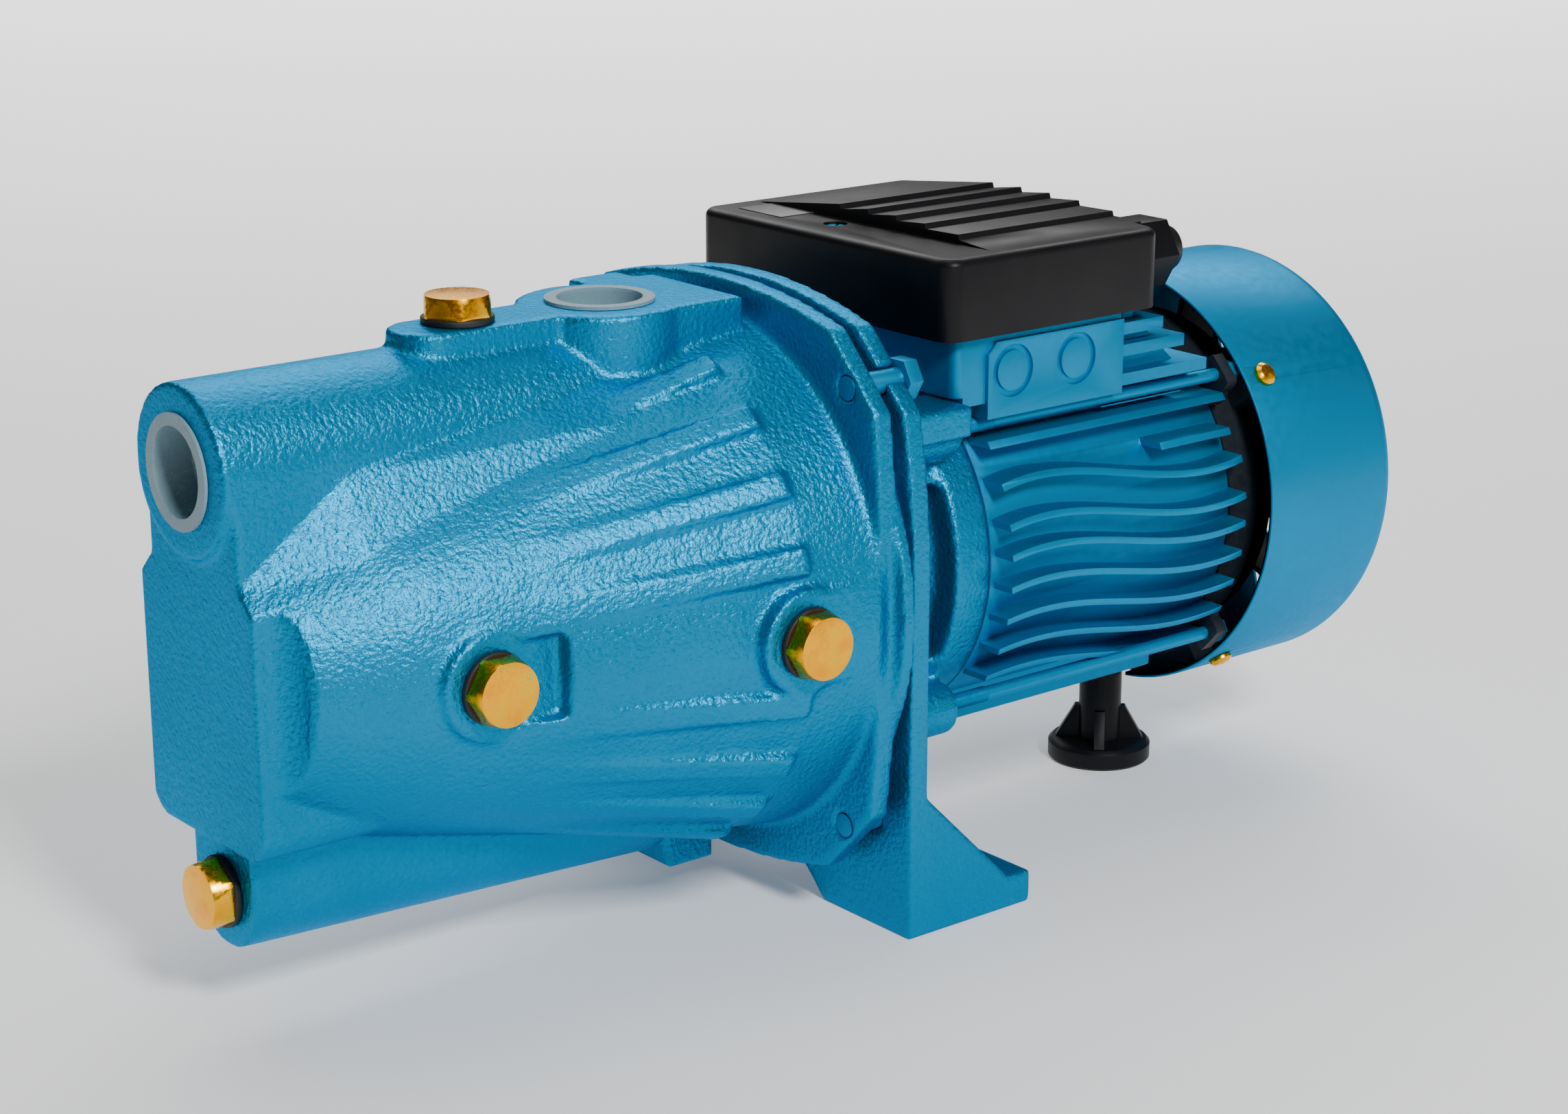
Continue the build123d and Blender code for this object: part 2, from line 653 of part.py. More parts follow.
with BuildPart() as motor_bracket:
    # plate with two legs
    with BuildSketch(across(PLATE_X)):
        with BuildLine():
            ThreePointArc((-60, 91.5), (0, 101), (60, 91.5))
            Line((60, 91.5), (84, 67))
            ThreePointArc((84, 67), (89.2, 33), (FOOT_HALF, -4))
            Line((FOOT_HALF, -4), (FOOT_HALF, -SHAFT_Z))
            Line((FOOT_HALF, -SHAFT_Z), (FOOT_INNER, -SHAFT_Z))
            ThreePointArc((FOOT_INNER, -SHAFT_Z), (0, LEG_ARCH_Z - SHAFT_Z), (-FOOT_INNER, -SHAFT_Z))
            Line((-FOOT_INNER, -SHAFT_Z), (-FOOT_HALF, -SHAFT_Z))
            Line((-FOOT_HALF, -SHAFT_Z), (-FOOT_HALF, -4))
            ThreePointArc((-FOOT_HALF, -4), (-89.2, 33), (-84, 67))
            Line((-84, 67), (-60, 91.5))
        make_face()
    extrude(amount=PLATE_T)
    # foot plates with their gussets
    with BuildSketch(Plane.XY):
        with Locations(*[((PLATE_X + FOOT_END_X) / 2, side * (FOOT_HALF + FOOT_INNER) / 2) for side in (-1, 1)]):
            Rectangle(FOOT_END_X - PLATE_X, FOOT_HALF - FOOT_INNER)
    extrude(amount=FOOT_T)
    for side_y in (-FOOT_HALF, -FOOT_INNER - GUSSET_T, FOOT_INNER, FOOT_HALF - GUSSET_T):
        with BuildSketch(Plane(origin=(0, side_y, 0), x_dir=(1, 0, 0), z_dir=(0, -1, 0))):
            with BuildLine():
                Polyline(
                    (PLATE_END_X - 1, FOOT_T - 1),
                    (GUSSET_LOW_X, FOOT_T - 1),
                    (GUSSET_LOW_X, FOOT_T),
                    GUSSET_TOP,
                    (PLATE_END_X - 1, GUSSET_TOP[1]),
                    close=True,
                )
            make_face()
        extrude(amount=-GUSSET_T)
    # lantern round the shaft, and the ring that carries the motor
    with BuildSketch(across(PLATE_END_X)):
        Circle(LANTERN_R - 1.5)
        Circle(LANTERN_BORE, mode=Mode.SUBTRACT)
    extrude(amount=RING_X - PLATE_END_X)
    with BuildSketch(across(RING_X)):
        Circle(LANTERN_R)
        Circle(LANTERN_BORE, mode=Mode.SUBTRACT)
    extrude(amount=RING_END_X - RING_X)
    # windows in both sides of the lantern
    with BuildSketch(Plane.XZ.offset(-LANTERN_R)):
        with Locations(((PLATE_END_X + RING_X) / 2, SHAFT_Z)):
            Rectangle(RING_X - PLATE_END_X, 2 * WINDOW_HALF)
    extrude(amount=2 * LANTERN_R, mode=Mode.SUBTRACT)
    # lugs for the tie rods
    with BuildSketch(across(PLATE_END_X)):
        with Locations(*corners(TIE_Y, TIE_Z)):
            Circle(9.5)
        with Locations(*[(side * 57, TIE_Z + 5.5) for side in (-1, 1)]):
            Rectangle(24, 11)
    extrude(amount=TIE_LUG_X - PLATE_END_X)
    with BuildSketch(across(PLATE_END_X)):
        Circle(LANTERN_BORE)
    extrude(amount=RING_END_X - PLATE_END_X, mode=Mode.SUBTRACT)
    # bearing wall at the motor end
    with BuildSketch(across(FRONT_BEARING_X - 3)):
        Circle(LANTERN_BORE + 1)
    extrude(amount=BEARING_W + 3)
    with BuildSketch(across(FRONT_BEARING_X + 4)):
        Circle(LANTERN_BORE - 6)
        Circle(BEARING_R + 6, mode=Mode.SUBTRACT)
    extrude(amount=20, mode=Mode.SUBTRACT)
    with BuildSketch(across(FRONT_BEARING_X)):
        Circle(BEARING_R)
    extrude(amount=20, mode=Mode.SUBTRACT)
    with BuildSketch(across(FRONT_BEARING_X - 10)):
        Circle(16)
    extrude(amount=20, mode=Mode.SUBTRACT)
    # spigot that centres the motor frame
    with BuildSketch(across(RING_END_X - 4)):
        Circle(FRAME_BORE - 0.1)
        Circle(LANTERN_BORE, mode=Mode.SUBTRACT)
    extrude(amount=8)
    # hole for the seal plate's hub, then the bolt, tie-rod and foot holes
    with BuildSketch(across(PLATE_X)):
        Circle(HUB_HOLE_R)
    extrude(amount=PLATE_T, mode=Mode.SUBTRACT)
    with BuildSketch(across(PLATE_X)):
        with Locations(*corners(BOLT_Y, BOLT_Z)):
            Circle(BOLT_R + 0.4)
    extrude(amount=PLATE_T, mode=Mode.SUBTRACT)
    with BuildSketch(across(TIE_END_X)):
        with Locations(*corners(TIE_Y, TIE_Z)):
            Circle(TIE_R + 0.1)
    extrude(amount=RING_END_X - TIE_END_X, mode=Mode.SUBTRACT)
    with BuildSketch(Plane.XY):
        with Locations((0, FOOT_HOLE_Y), (0, -FOOT_HOLE_Y)):
            Circle(FOOT_HOLE_R)
    extrude(amount=FOOT_T + 5, mode=Mode.SUBTRACT)
motor_bracket.part.label = "motor_bracket"
export_step(motor_bracket.part, "parts/motor_bracket.step")


# ---------------------------------------------------------------- motor frame and terminal base
FIN_X = 20.0
FIN_END_X = 136.0
# height over the shaft of each side fin at its front end, and its fall towards the fan end
SIDE_FINS = [28.9, 15.5, 5.1, -6.4, -18.2, -29.9, -41.2]
FIN_FALL = 7.8
FIN_SWING = 3.0
TOP_FIN_Z = 42.3
REAR_FIN_Z = 31.0
# fins beside the rear end of the terminal base: where each one ends, and its top
STEP_FINS = [(101, 191), (112, 183.2), (124, 172.8)]
STEP_FIN_T = 4.2
BASE_REAR_HALF = 56.0
PANEL_X = 16.0
PANEL_RISE = 1.5
PANEL_TOP_Z = 193.0
PANEL_LOW_Z = 166.6
PANEL_CORNER_R = 4.0
KNOCKOUT_XS = [27.4, 57.2]
KNOCKOUT_Z = 182.2
KNOCKOUT_R = 9.2

with BuildPart() as motor_frame:
    with BuildSketch(across(RING_END_X)):
        Circle(FRAME_R)
    extrude(amount=FRAME_END_X - RING_END_X)
    # side fins: level plates, all but the top pair with a wave in them
    with BuildSketch(Plane.XZ.offset(-FIN_TIP_R)):
        with Locations(((FIN_X + FIN_END_X) / 2, SHAFT_Z + TOP_FIN_Z)):
            Rectangle(FIN_END_X - FIN_X, FIN_T)
        with Locations((115, SHAFT_Z + REAR_FIN_Z)):
            Rectangle(36, FIN_T)
    extrude(amount=2 * FIN_TIP_R)
    for height in SIDE_FINS:
        with BuildSketch(Plane.XZ.offset(-FIN_TIP_R)):
            front_z = SHAFT_Z + height
            with BuildLine():
                Spline(
                    (FIN_X, front_z),
                    (58, front_z - 0.33 * FIN_FALL + 0.8 * FIN_SWING),
                    (98, front_z - 0.67 * FIN_FALL - 0.8 * FIN_SWING),
                    (FIN_END_X, front_z - FIN_FALL),
                )
            trace(line_width=FIN_T)
        extrude(amount=2 * FIN_TIP_R)
    # lower fins, hanging down
    with BuildSketch(Plane.XY.offset(SHAFT_Z - FIN_TIP_R)):
        with Locations(*[(74, step * 12) for step in range(-3, 4)]):
            Rectangle(104, FIN_T)
    extrude(amount=40)
    with BuildSketch(across(RING_END_X)):
        Circle(FIN_TIP_R)
    extrude(amount=FRAME_END_X - RING_END_X, mode=Mode.INTERSECT)
    # terminal base: pedestal, box, its narrower rear end and the stepped fins beside that
    with BuildSketch(Plane.XY.offset(SHAFT_Z + 30)):
        with Locations((60, 0)):
            Rectangle(76, 96)
    extrude(amount=BASE_TOP_Z - SHAFT_Z - 30)
    with BuildSketch(Plane.XY.offset(BASE_LOW_Z)):
        with Locations(((BASE_X + BASE_SIDE_END_X) / 2, 0)):
            RectangleRounded(BASE_SIDE_END_X - BASE_X, 2 * BASE_HALF, 4)
        with Locations((BASE_SIDE_END_X - 4, 0)):
            Rectangle(8, 2 * BASE_HALF)
        with Locations(((BASE_X + BASE_END_X) / 2, 0)):
            RectangleRounded(BASE_END_X - BASE_X, 2 * BASE_REAR_HALF, 4)
    extrude(amount=BASE_TOP_Z - BASE_LOW_Z)
    for end_x, top_z in STEP_FINS:
        with BuildSketch(Plane.XY.offset(top_z - STEP_FIN_T)):
            with Locations(((BASE_SIDE_END_X - 2 + end_x) / 2, 0)):
                Rectangle(end_x - BASE_SIDE_END_X + 2, 2 * BASE_HALF)
        extrude(amount=STEP_FIN_T)
    with BuildSketch(Plane.XZ.offset(-BASE_REAR_HALF)):
        with BuildLine():
            Polyline(
                (BASE_SIDE_END_X - 2, SHAFT_Z + 46),
                (BASE_SIDE_END_X - 2, 191),
                (93, 191),
                (118, 168),
                (118, SHAFT_Z + 46),
                close=True,
            )
        make_face()
    extrude(amount=2 * BASE_REAR_HALF)
    # raised panel on each side with two round blanks for knocking out
    for side in (-1, 1):
        with BuildSketch(Plane.XZ.offset(-side * (BASE_HALF + PANEL_RISE))):
            with BuildLine():
                Polyline(
                    (PANEL_X, PANEL_LOW_Z),
                    (PANEL_X, PANEL_TOP_Z - PANEL_CORNER_R),
                    (PANEL_X + PANEL_CORNER_R, PANEL_TOP_Z),
                    (BASE_SIDE_END_X, PANEL_TOP_Z),
                    (BASE_SIDE_END_X, PANEL_LOW_Z),
                    close=True,
                )
            make_face()
        extrude(amount=side * (PANEL_RISE + 14))
        with BuildSketch(Plane.XZ.offset(-side * (BASE_HALF + PANEL_RISE))):
            with Locations(*[(x, KNOCKOUT_Z) for x in KNOCKOUT_XS]):
                Circle(KNOCKOUT_R)
                Circle(KNOCKOUT_R - 2.2, mode=Mode.SUBTRACT)
        extrude(amount=side * 1.2, mode=Mode.SUBTRACT)
    # bore for the stator, the wiring space in the base and the way between them
    with BuildSketch(across(RING_END_X)):
        Circle(FRAME_BORE)
    extrude(amount=FRAME_END_X - RING_END_X, mode=Mode.SUBTRACT)
    with BuildSketch(across(BASE_X)):
        Circle(LANTERN_R + 1)
    extrude(amount=RING_END_X - BASE_X, mode=Mode.SUBTRACT)
    with BuildSketch(across(BASE_X - 1)):
        with Locations(*corners(TIE_Y, TIE_Z + 1)):
            Rectangle(30, 22)
    extrude(amount=TIE_LUG_X - BASE_X + 1.8, mode=Mode.SUBTRACT)
    with BuildSketch(Plane.XY.offset(BOX_FLOOR_Z)):
        with Locations(((BASE_X + BASE_END_X) / 2, 0)):
            RectangleRounded(BASE_END_X - BASE_X - 12, 2 * BASE_HALF - 12, 4)
    extrude(amount=20, mode=Mode.SUBTRACT)
    with BuildSketch(Plane.XY.offset(165)):
        with Locations((48, 42)):
            Circle(6)
    extrude(amount=20, mode=Mode.SUBTRACT)
    # post for the cover's screw
    with BuildSketch(Plane.XY.offset(BOX_FLOOR_Z)):
        with Locations(LID_SCREW):
            Circle(5)
    extrude(amount=BASE_TOP_Z - BOX_FLOOR_Z)
    with BuildSketch(Plane.XY.offset(BASE_TOP_Z)):
        with Locations(LID_SCREW):
            Circle(2.1)
    extrude(amount=-9, mode=Mode.SUBTRACT)
    # clear ways for the tie rods and for the rear foot's boss
    with BuildSketch(across(RING_END_X)):
        with Locations(*corners(TIE_Y, TIE_Z)):
            Circle(TIE_R + 0.6)
    extrude(amount=FRAME_END_X - RING_END_X, mode=Mode.SUBTRACT)
motor_frame.part.label = "motor_frame"
export_step(motor_frame.part, "parts/motor_frame.step")


# ---------------------------------------------------------------- shaft with what turns on it
SHAFT_THREAD_X = -96.0
IMPELLER_SEAT_X = -84.0
SEAL_SHAFT_X = -57.0
SHAFT_SHOULDER_X = -32.0
ROTOR_X = FRONT_BEARING_X + BEARING_W
FAN_SEAT_X = REAR_BEARING_X + BEARING_W
SHAFT_END_X = 190.0
SEAT_R = 6.0
SEAL_SHAFT_R = 7.0
ROTOR_SHAFT_R = 10.0
FAN_SEAT_R = 7.0

with BuildPart() as shaft:
    with BuildSketch(AXIAL):
        with BuildLine():
            Polyline(
                (SHAFT_THREAD_X, 0),
                (SHAFT_THREAD_X, 3.4),
                (SHAFT_THREAD_X + 0.6, 4),
                (IMPELLER_SEAT_X, 4),
                (IMPELLER_SEAT_X, SEAT_R),
                (SEAL_SHAFT_X, SEAT_R),
                (SEAL_SHAFT_X, SEAL_SHAFT_R),
                (SHAFT_SHOULDER_X, SEAL_SHAFT_R),
                (SHAFT_SHOULDER_X, BEARING_BORE_R),
                (ROTOR_X, BEARING_BORE_R),
                (ROTOR_X, ROTOR_SHAFT_R),
                (REAR_BEARING_X, ROTOR_SHAFT_R),
                (REAR_BEARING_X, BEARING_BORE_R),
                (FAN_SEAT_X, BEARING_BORE_R),
                (FAN_SEAT_X, FAN_SEAT_R),
                (SHAFT_END_X - 1, FAN_SEAT_R),
                (SHAFT_END_X, FAN_SEAT_R - 1),
                (SHAFT_END_X, 0),
                close=True,
            )
        make_face()
    revolve(axis=SHAFT_AXIS)
shaft.part.label = "shaft"
export_step(shaft.part, "parts/shaft.step")

IMPELLER_R = 56.0
VANES = 6
VANE_T = 2.2

with BuildPart() as impeller:
    # hub and back plate, front plate with its neck, then the curved vanes between them
    with BuildSketch(AXIAL):
        with BuildLine():
            Polyline(
                (IMPELLER_SEAT_X, SEAT_R),
                (IMPELLER_SEAT_X, 9),
                (-70, 12),
                (-65, 20),
                (-63.5, IMPELLER_R),
                (-61, IMPELLER_R),
                (-61, 12),
                (SEAL_SHAFT_X - 0.5, 10.5),
                (SEAL_SHAFT_X - 0.5, SEAT_R),
                close=True,
            )
        make_face()
        with BuildLine():
            Polyline(
                (-83, 17),
                (-83, EYE_BORE_R - 0.6),
                (-76.5, EYE_BORE_R - 0.6),
                (-75.5, 24),
                (-73, IMPELLER_R),
                (-71, IMPELLER_R),
                (-73, 21),
                (-76, 17),
                close=True,
            )
        make_face()
    revolve(axis=SHAFT_AXIS)
    for vane in range(VANES):
        with BuildSketch(across(-73.5)):
            start = 360 / VANES * vane
            with BuildLine():
                ThreePointArc(
                    (22 * math.cos(math.radians(start)), 22 * math.sin(math.radians(start))),
                    (37 * math.cos(math.radians(start - 33)), 37 * math.sin(math.radians(start - 33))),
                    (55 * math.cos(math.radians(start - 75)), 55 * math.sin(math.radians(start - 75))),
                )
            trace(line_width=VANE_T)
        extrude(amount=10)
impeller.part.label = "impeller"
export_step(impeller.part, "parts/impeller.step")

with BuildPart() as impeller_nut:
    with BuildSketch(across(IMPELLER_SEAT_X - 7.5)):
        RegularPolygon(13 / math.sqrt(3), 6)
        Circle(4, mode=Mode.SUBTRACT)
    extrude(amount=7.5)
impeller_nut.part.label = "impeller_nut"
export_step(impeller_nut.part, "parts/impeller_nut.step")

with BuildPart() as seal_stationary_ring:
    with BuildSketch(across(SEAL_SEAT_X)):
        Circle(SEAL_SEAT_R)
        Circle(9, mode=Mode.SUBTRACT)
    extrude(amount=6.5)
seal_stationary_ring.part.label = "seal_stationary_ring"
export_step(seal_stationary_ring.part, "parts/seal_stationary_ring.step")

with BuildPart() as seal_rotating_head:
    # carbon ring with its rubber collar, gripping the shaft
    with BuildSketch(AXIAL):
        with BuildLine():
            Polyline(
                (SEAL_SHAFT_X + 5.2, SEAL_SHAFT_R),
                (SEAL_SHAFT_X + 5.2, 14),
                (SEAL_SHAFT_X + 6.6, 14),
                (SEAL_SHAFT_X + 6.6, 11.5),
                (SEAL_SEAT_X - 0.1, 11.5),
                (SEAL_SEAT_X - 0.1, SEAL_SHAFT_R),
                close=True,
            )
        make_face()
    revolve(axis=SHAFT_AXIS)
seal_rotating_head.part.label = "seal_rotating_head"
export_step(seal_rotating_head.part, "parts/seal_rotating_head.step")

SPRING_COIL_R = 12.8
SPRING_WIRE_R = 0.7
SPRING_PITCH = 1.7
SPRING_X = SEAL_SHAFT_X + 0.4

with BuildPart() as seal_spring:
    # two and a quarter open turns between the impeller and the rotating head
    with BuildLine():
        coil = Helix(
            pitch=SPRING_PITCH,
            height=2.25 * SPRING_PITCH,
            radius=SPRING_COIL_R,
            center=(SPRING_X, 0, SHAFT_Z),
            direction=(1, 0, 0),
        )
    with BuildSketch(Plane(origin=coil @ 0, z_dir=coil % 0)):
        Circle(SPRING_WIRE_R)
    sweep(is_frenet=True)
seal_spring.part.label = "seal_spring"
export_step(seal_spring.part, "parts/seal_spring.step")

with BuildPart() as water_slinger:
    with BuildSketch(AXIAL):
        with BuildLine():
            Polyline((-24, 8.5), (-24, 12), (-20, 12), (-18.5, 19), (-17, 19), (-16, 12), (-12, 12), (-12, 8.5), close=True)
        make_face()
    revolve(axis=SHAFT_AXIS)
water_slinger.part.label = "water_slinger"
export_step(water_slinger.part, "parts/water_slinger.step")

ROTOR_R = 32.6
CORE_X = 36.0
CORE_END_X = 104.0

with BuildPart() as rotor_core:
    with BuildSketch(across(CORE_X - 5)):
        Circle(ROTOR_R - 3)
        Circle(ROTOR_SHAFT_R, mode=Mode.SUBTRACT)
    extrude(amount=CORE_END_X - CORE_X + 10)
    with BuildSketch(across(CORE_X)):
        Circle(ROTOR_R)
        Circle(ROTOR_SHAFT_R, mode=Mode.SUBTRACT)
    extrude(amount=CORE_END_X - CORE_X)
rotor_core.part.label = "rotor_core"
export_step(rotor_core.part, "parts/rotor_core.step")


# ---------------------------------------------------------------- ball bearings
def bearing_inner(x):
    """Inner ring of a ball bearing that starts at station x."""
    with BuildPart() as ring:
        with BuildSketch(across(x)):
            Circle(BALL_PITCH_R - 2.4)
            Circle(BEARING_BORE_R, mode=Mode.SUBTRACT)
        extrude(amount=BEARING_W)
        with BuildSketch(AXIAL):
            with Locations((x + BEARING_W / 2, BALL_PITCH_R)):
                Circle(BALL_R + 0.05)
        revolve(axis=SHAFT_AXIS, mode=Mode.SUBTRACT)
    return ring.part


def bearing_outer(x):
    """Outer ring of a ball bearing that starts at station x, with its two thin shields."""
    with BuildPart() as ring:
        with BuildSketch(across(x)):
            Circle(BEARING_R)
            Circle(BALL_PITCH_R + 2.4, mode=Mode.SUBTRACT)
        extrude(amount=BEARING_W)
        with BuildSketch(AXIAL):
            with Locations((x + BEARING_W / 2, BALL_PITCH_R)):
                Circle(BALL_R + 0.1)
        revolve(axis=SHAFT_AXIS, mode=Mode.SUBTRACT)
        for shield_x in (x + 0.4, x + BEARING_W - 0.9):
            with BuildSketch(across(shield_x)):
                Circle(BALL_PITCH_R + 3)
                Circle(BALL_PITCH_R - 2.0, mode=Mode.SUBTRACT)
            extrude(amount=0.5)
    return ring.part


def bearing_balls(x):
    """Eight balls on their pitch circle."""
    with BuildPart() as balls:
        with PolarLocations(BALL_PITCH_R, 8):
            Sphere(BALL_R)
    turned = balls.part.rotate(Axis.Y, 90)
    return turned.moved(Location((x + BEARING_W / 2, 0, SHAFT_Z)))


with BuildPart() as front_bearing_inner:
    add(bearing_inner(FRONT_BEARING_X))
front_bearing_inner.part.label = "front_bearing_inner"
export_step(front_bearing_inner.part, "parts/front_bearing_inner.step")

with BuildPart() as front_bearing_outer:
    add(bearing_outer(FRONT_BEARING_X))
front_bearing_outer.part.label = "front_bearing_outer"
export_step(front_bearing_outer.part, "parts/front_bearing_outer.step")

with BuildPart() as front_bearing_balls:
    add(bearing_balls(FRONT_BEARING_X))
front_bearing_balls.part.label = "front_bearing_balls"
export_step(front_bearing_balls.part, "parts/front_bearing_balls.step")

with BuildPart() as rear_bearing_inner:
    add(bearing_inner(REAR_BEARING_X))
rear_bearing_inner.part.label = "rear_bearing_inner"
export_step(rear_bearing_inner.part, "parts/rear_bearing_inner.step")

with BuildPart() as rear_bearing_outer:
    add(bearing_outer(REAR_BEARING_X))
rear_bearing_outer.part.label = "rear_bearing_outer"
export_step(rear_bearing_outer.part, "parts/rear_bearing_outer.step")

with BuildPart() as rear_bearing_balls:
    add(bearing_balls(REAR_BEARING_X))
rear_bearing_balls.part.label = "rear_bearing_balls"
export_step(rear_bearing_balls.part, "parts/rear_bearing_balls.step")

with BuildPart() as wave_washer:
    with BuildSketch(across(REAR_BEARING_X + BEARING_W + 0.1)):
        Circle(BEARING_R - 0.3)
        Circle(BEARING_R - 4, mode=Mode.SUBTRACT)
    extrude(amount=0.8)
wave_washer.part.label = "wave_washer"
export_step(wave_washer.part, "parts/wave_washer.step")


# ---------------------------------------------------------------- stator, rear shield and tie rods
STATOR_BORE = 33.2

with BuildPart() as stator_core:
    with BuildSketch(across(CORE_X)):
        Circle(FRAME_BORE - 0.05)
        Circle(STATOR_BORE, mode=Mode.SUBTRACT)
    extrude(amount=CORE_END_X - CORE_X)
stator_core.part.label = "stator_core"
export_step(stator_core.part, "parts/stator_core.step")

with BuildPart() as stator_windings:
    # the two end turns, which bulge out of the core
    for start_x in (CORE_X - 13, CORE_END_X):
        with BuildSketch(across(start_x)):
            Circle(55)
            Circle(37, mode=Mode.SUBTRACT)
        extrude(amount=13)
    fillet(edges().filter_by(GeomType.CIRCLE), 4)
stator_windings.part.label = "stator_windings"
export_step(stator_windings.part, "parts/stator_windings.step")

SHIELD_LUG_T = 5.0
SHIELD_CLEAR_R = COVER_R - COVER_T - 0.4

with BuildPart() as rear_end_shield:
    with BuildSketch(AXIAL):
        with BuildLine():
            Polyline(
                (REAR_BEARING_X - 2, BEARING_R),
                (REAR_BEARING_X - 2, BEARING_R + 5),
                (137, BEARING_R + 7),
                (137, 54),
                (FRAME_END_X - 6, 54),
                (FRAME_END_X - 6, FRAME_BORE - 0.1),
                (FRAME_END_X, FRAME_BORE - 0.1),
                (FRAME_END_X, FRAME_R + 1),
                (SHIELD_END_X, FRAME_R + 1),
                (SHIELD_END_X, 58),
                (143, 54),
                (143, 12),
                (137, 12),
                (137, BEARING_R),
                close=True,
            )
        make_face()
    revolve(axis=SHAFT_AXIS)
    # lugs for the tie rods
    with BuildSketch(across(FRAME_END_X)):
        with Locations(*corners(TIE_Y, TIE_Z)):
            Circle(7)
        with Locations(*corners(TIE_Y - 5, TIE_Z - 5)):
            Circle(8)
    extrude(amount=SHIELD_LUG_T)
    # blocks that take the fan cover's screws
    for angle in COVER_SCREW_ANGLES:
        with BuildSketch(radial_plane(angle)):
            with Locations((COVER_SCREW_X - 1.5, (60 + SHIELD_CLEAR_R) / 2)):
                Rectangle(11, SHIELD_CLEAR_R - 60)
        extrude(amount=5.5, both=True)
    # boss over the rear support foot
    with Locations((142.6, 0, 47)):
        Box(12.8, 18, 14)
    with Locations((132.7, 0, 44.2)):
        Box(7.4, 18, 8.4)
    # keep inside the fan cover, then the holes
    with BuildSketch(across(FRAME_END_X)):
        Circle(2 * COVER_R)
        Circle(SHIELD_CLEAR_R, mode=Mode.SUBTRACT)
    extrude(amount=30, mode=Mode.SUBTRACT)
    with BuildSketch(across(FRAME_END_X)):
        with Locations(*corners(TIE_Y, TIE_Z)):
            Circle(TIE_R + 0.2)
    extrude(amount=SHIELD_LUG_T, mode=Mode.SUBTRACT)
    for angle in COVER_SCREW_ANGLES:
        with BuildSketch(radial_plane(angle)):
            with BuildLine():
                Polyline(
                    (COVER_SCREW_X, 66),
                    (COVER_SCREW_X + COVER_SCREW_R + 0.1, 66),
                    (COVER_SCREW_X + COVER_SCREW_R + 0.1, COVER_R),
                    (COVER_SCREW_X, COVER_R),
                    close=True,
                )
            make_face()
        revolve(axis=cover_screw_axis(angle), mode=Mode.SUBTRACT)
    with BuildSketch(Plane.XY.offset(REAR_FOOT_TOP_Z)):
        with Locations((REAR_FOOT_X, 0)):
            Circle(REAR_FOOT_PIN_R + 0.1)
    extrude(amount=6.5, mode=Mode.SUBTRACT)
rear_end_shield.part.label = "rear_end_shield"
export_step(rear_end_shield.part, "parts/rear_end_shield.step")

with BuildPart() as tie_rods:
    with BuildSketch(across(TIE_END_X)):
        with Locations(*corners(TIE_Y, TIE_Z)):
            Circle(TIE_R)
    extrude(amount=FRAME_END_X + SHIELD_LUG_T - TIE_END_X)
    with BuildSketch(across(FRAME_END_X + SHIELD_LUG_T)):
        with Locations(*corners(TIE_Y, TIE_Z)):
            RegularPolygon(4.5, 6)
    extrude(amount=3.5)
tie_rods.part.label = "tie_rods"
export_step(tie_rods.part, "parts/tie_rods.step")


# ---------------------------------------------------------------- fan and fan cover
FAN_X = 160.0
FAN_END_X = 182.0
FAN_R = 71.0
FAN_BLADES = 7
FAN_DISC_R = 62.0

with BuildPart() as fan:
    with BuildSketch(across(FAN_X)):
        Circle(12)
    extrude(amount=FAN_END_X - FAN_X)
    with BuildSketch(across(FAN_X)):
        Circle(FAN_DISC_R)
    extrude(amount=2.5)
    with BuildSketch(across(FAN_X)):
        with PolarLocations((FAN_R + 11) / 2, FAN_BLADES):
            Rectangle(FAN_R - 11, 2.4)
    extrude(amount=FAN_END_X - FAN_X - 2)
    with BuildSketch(across(FAN_X)):
        Circle(FAN_SEAT_R)
    extrude(amount=FAN_END_X - FAN_X, mode=Mode.SUBTRACT)
fan.part.label = "fan"
export_step(fan.part, "parts/fan.step")

with BuildPart() as fan_clip:
    with BuildSketch(across(FAN_END_X)):
        Circle(10)
        Circle(FAN_SEAT_R, mode=Mode.SUBTRACT)
        with Locations((0, 9)):
            Rectangle(3, 6, mode=Mode.SUBTRACT)
    extrude(amount=1.2)
fan_clip.part.label = "fan_clip"
export_step(fan_clip.part, "parts/fan_clip.step")

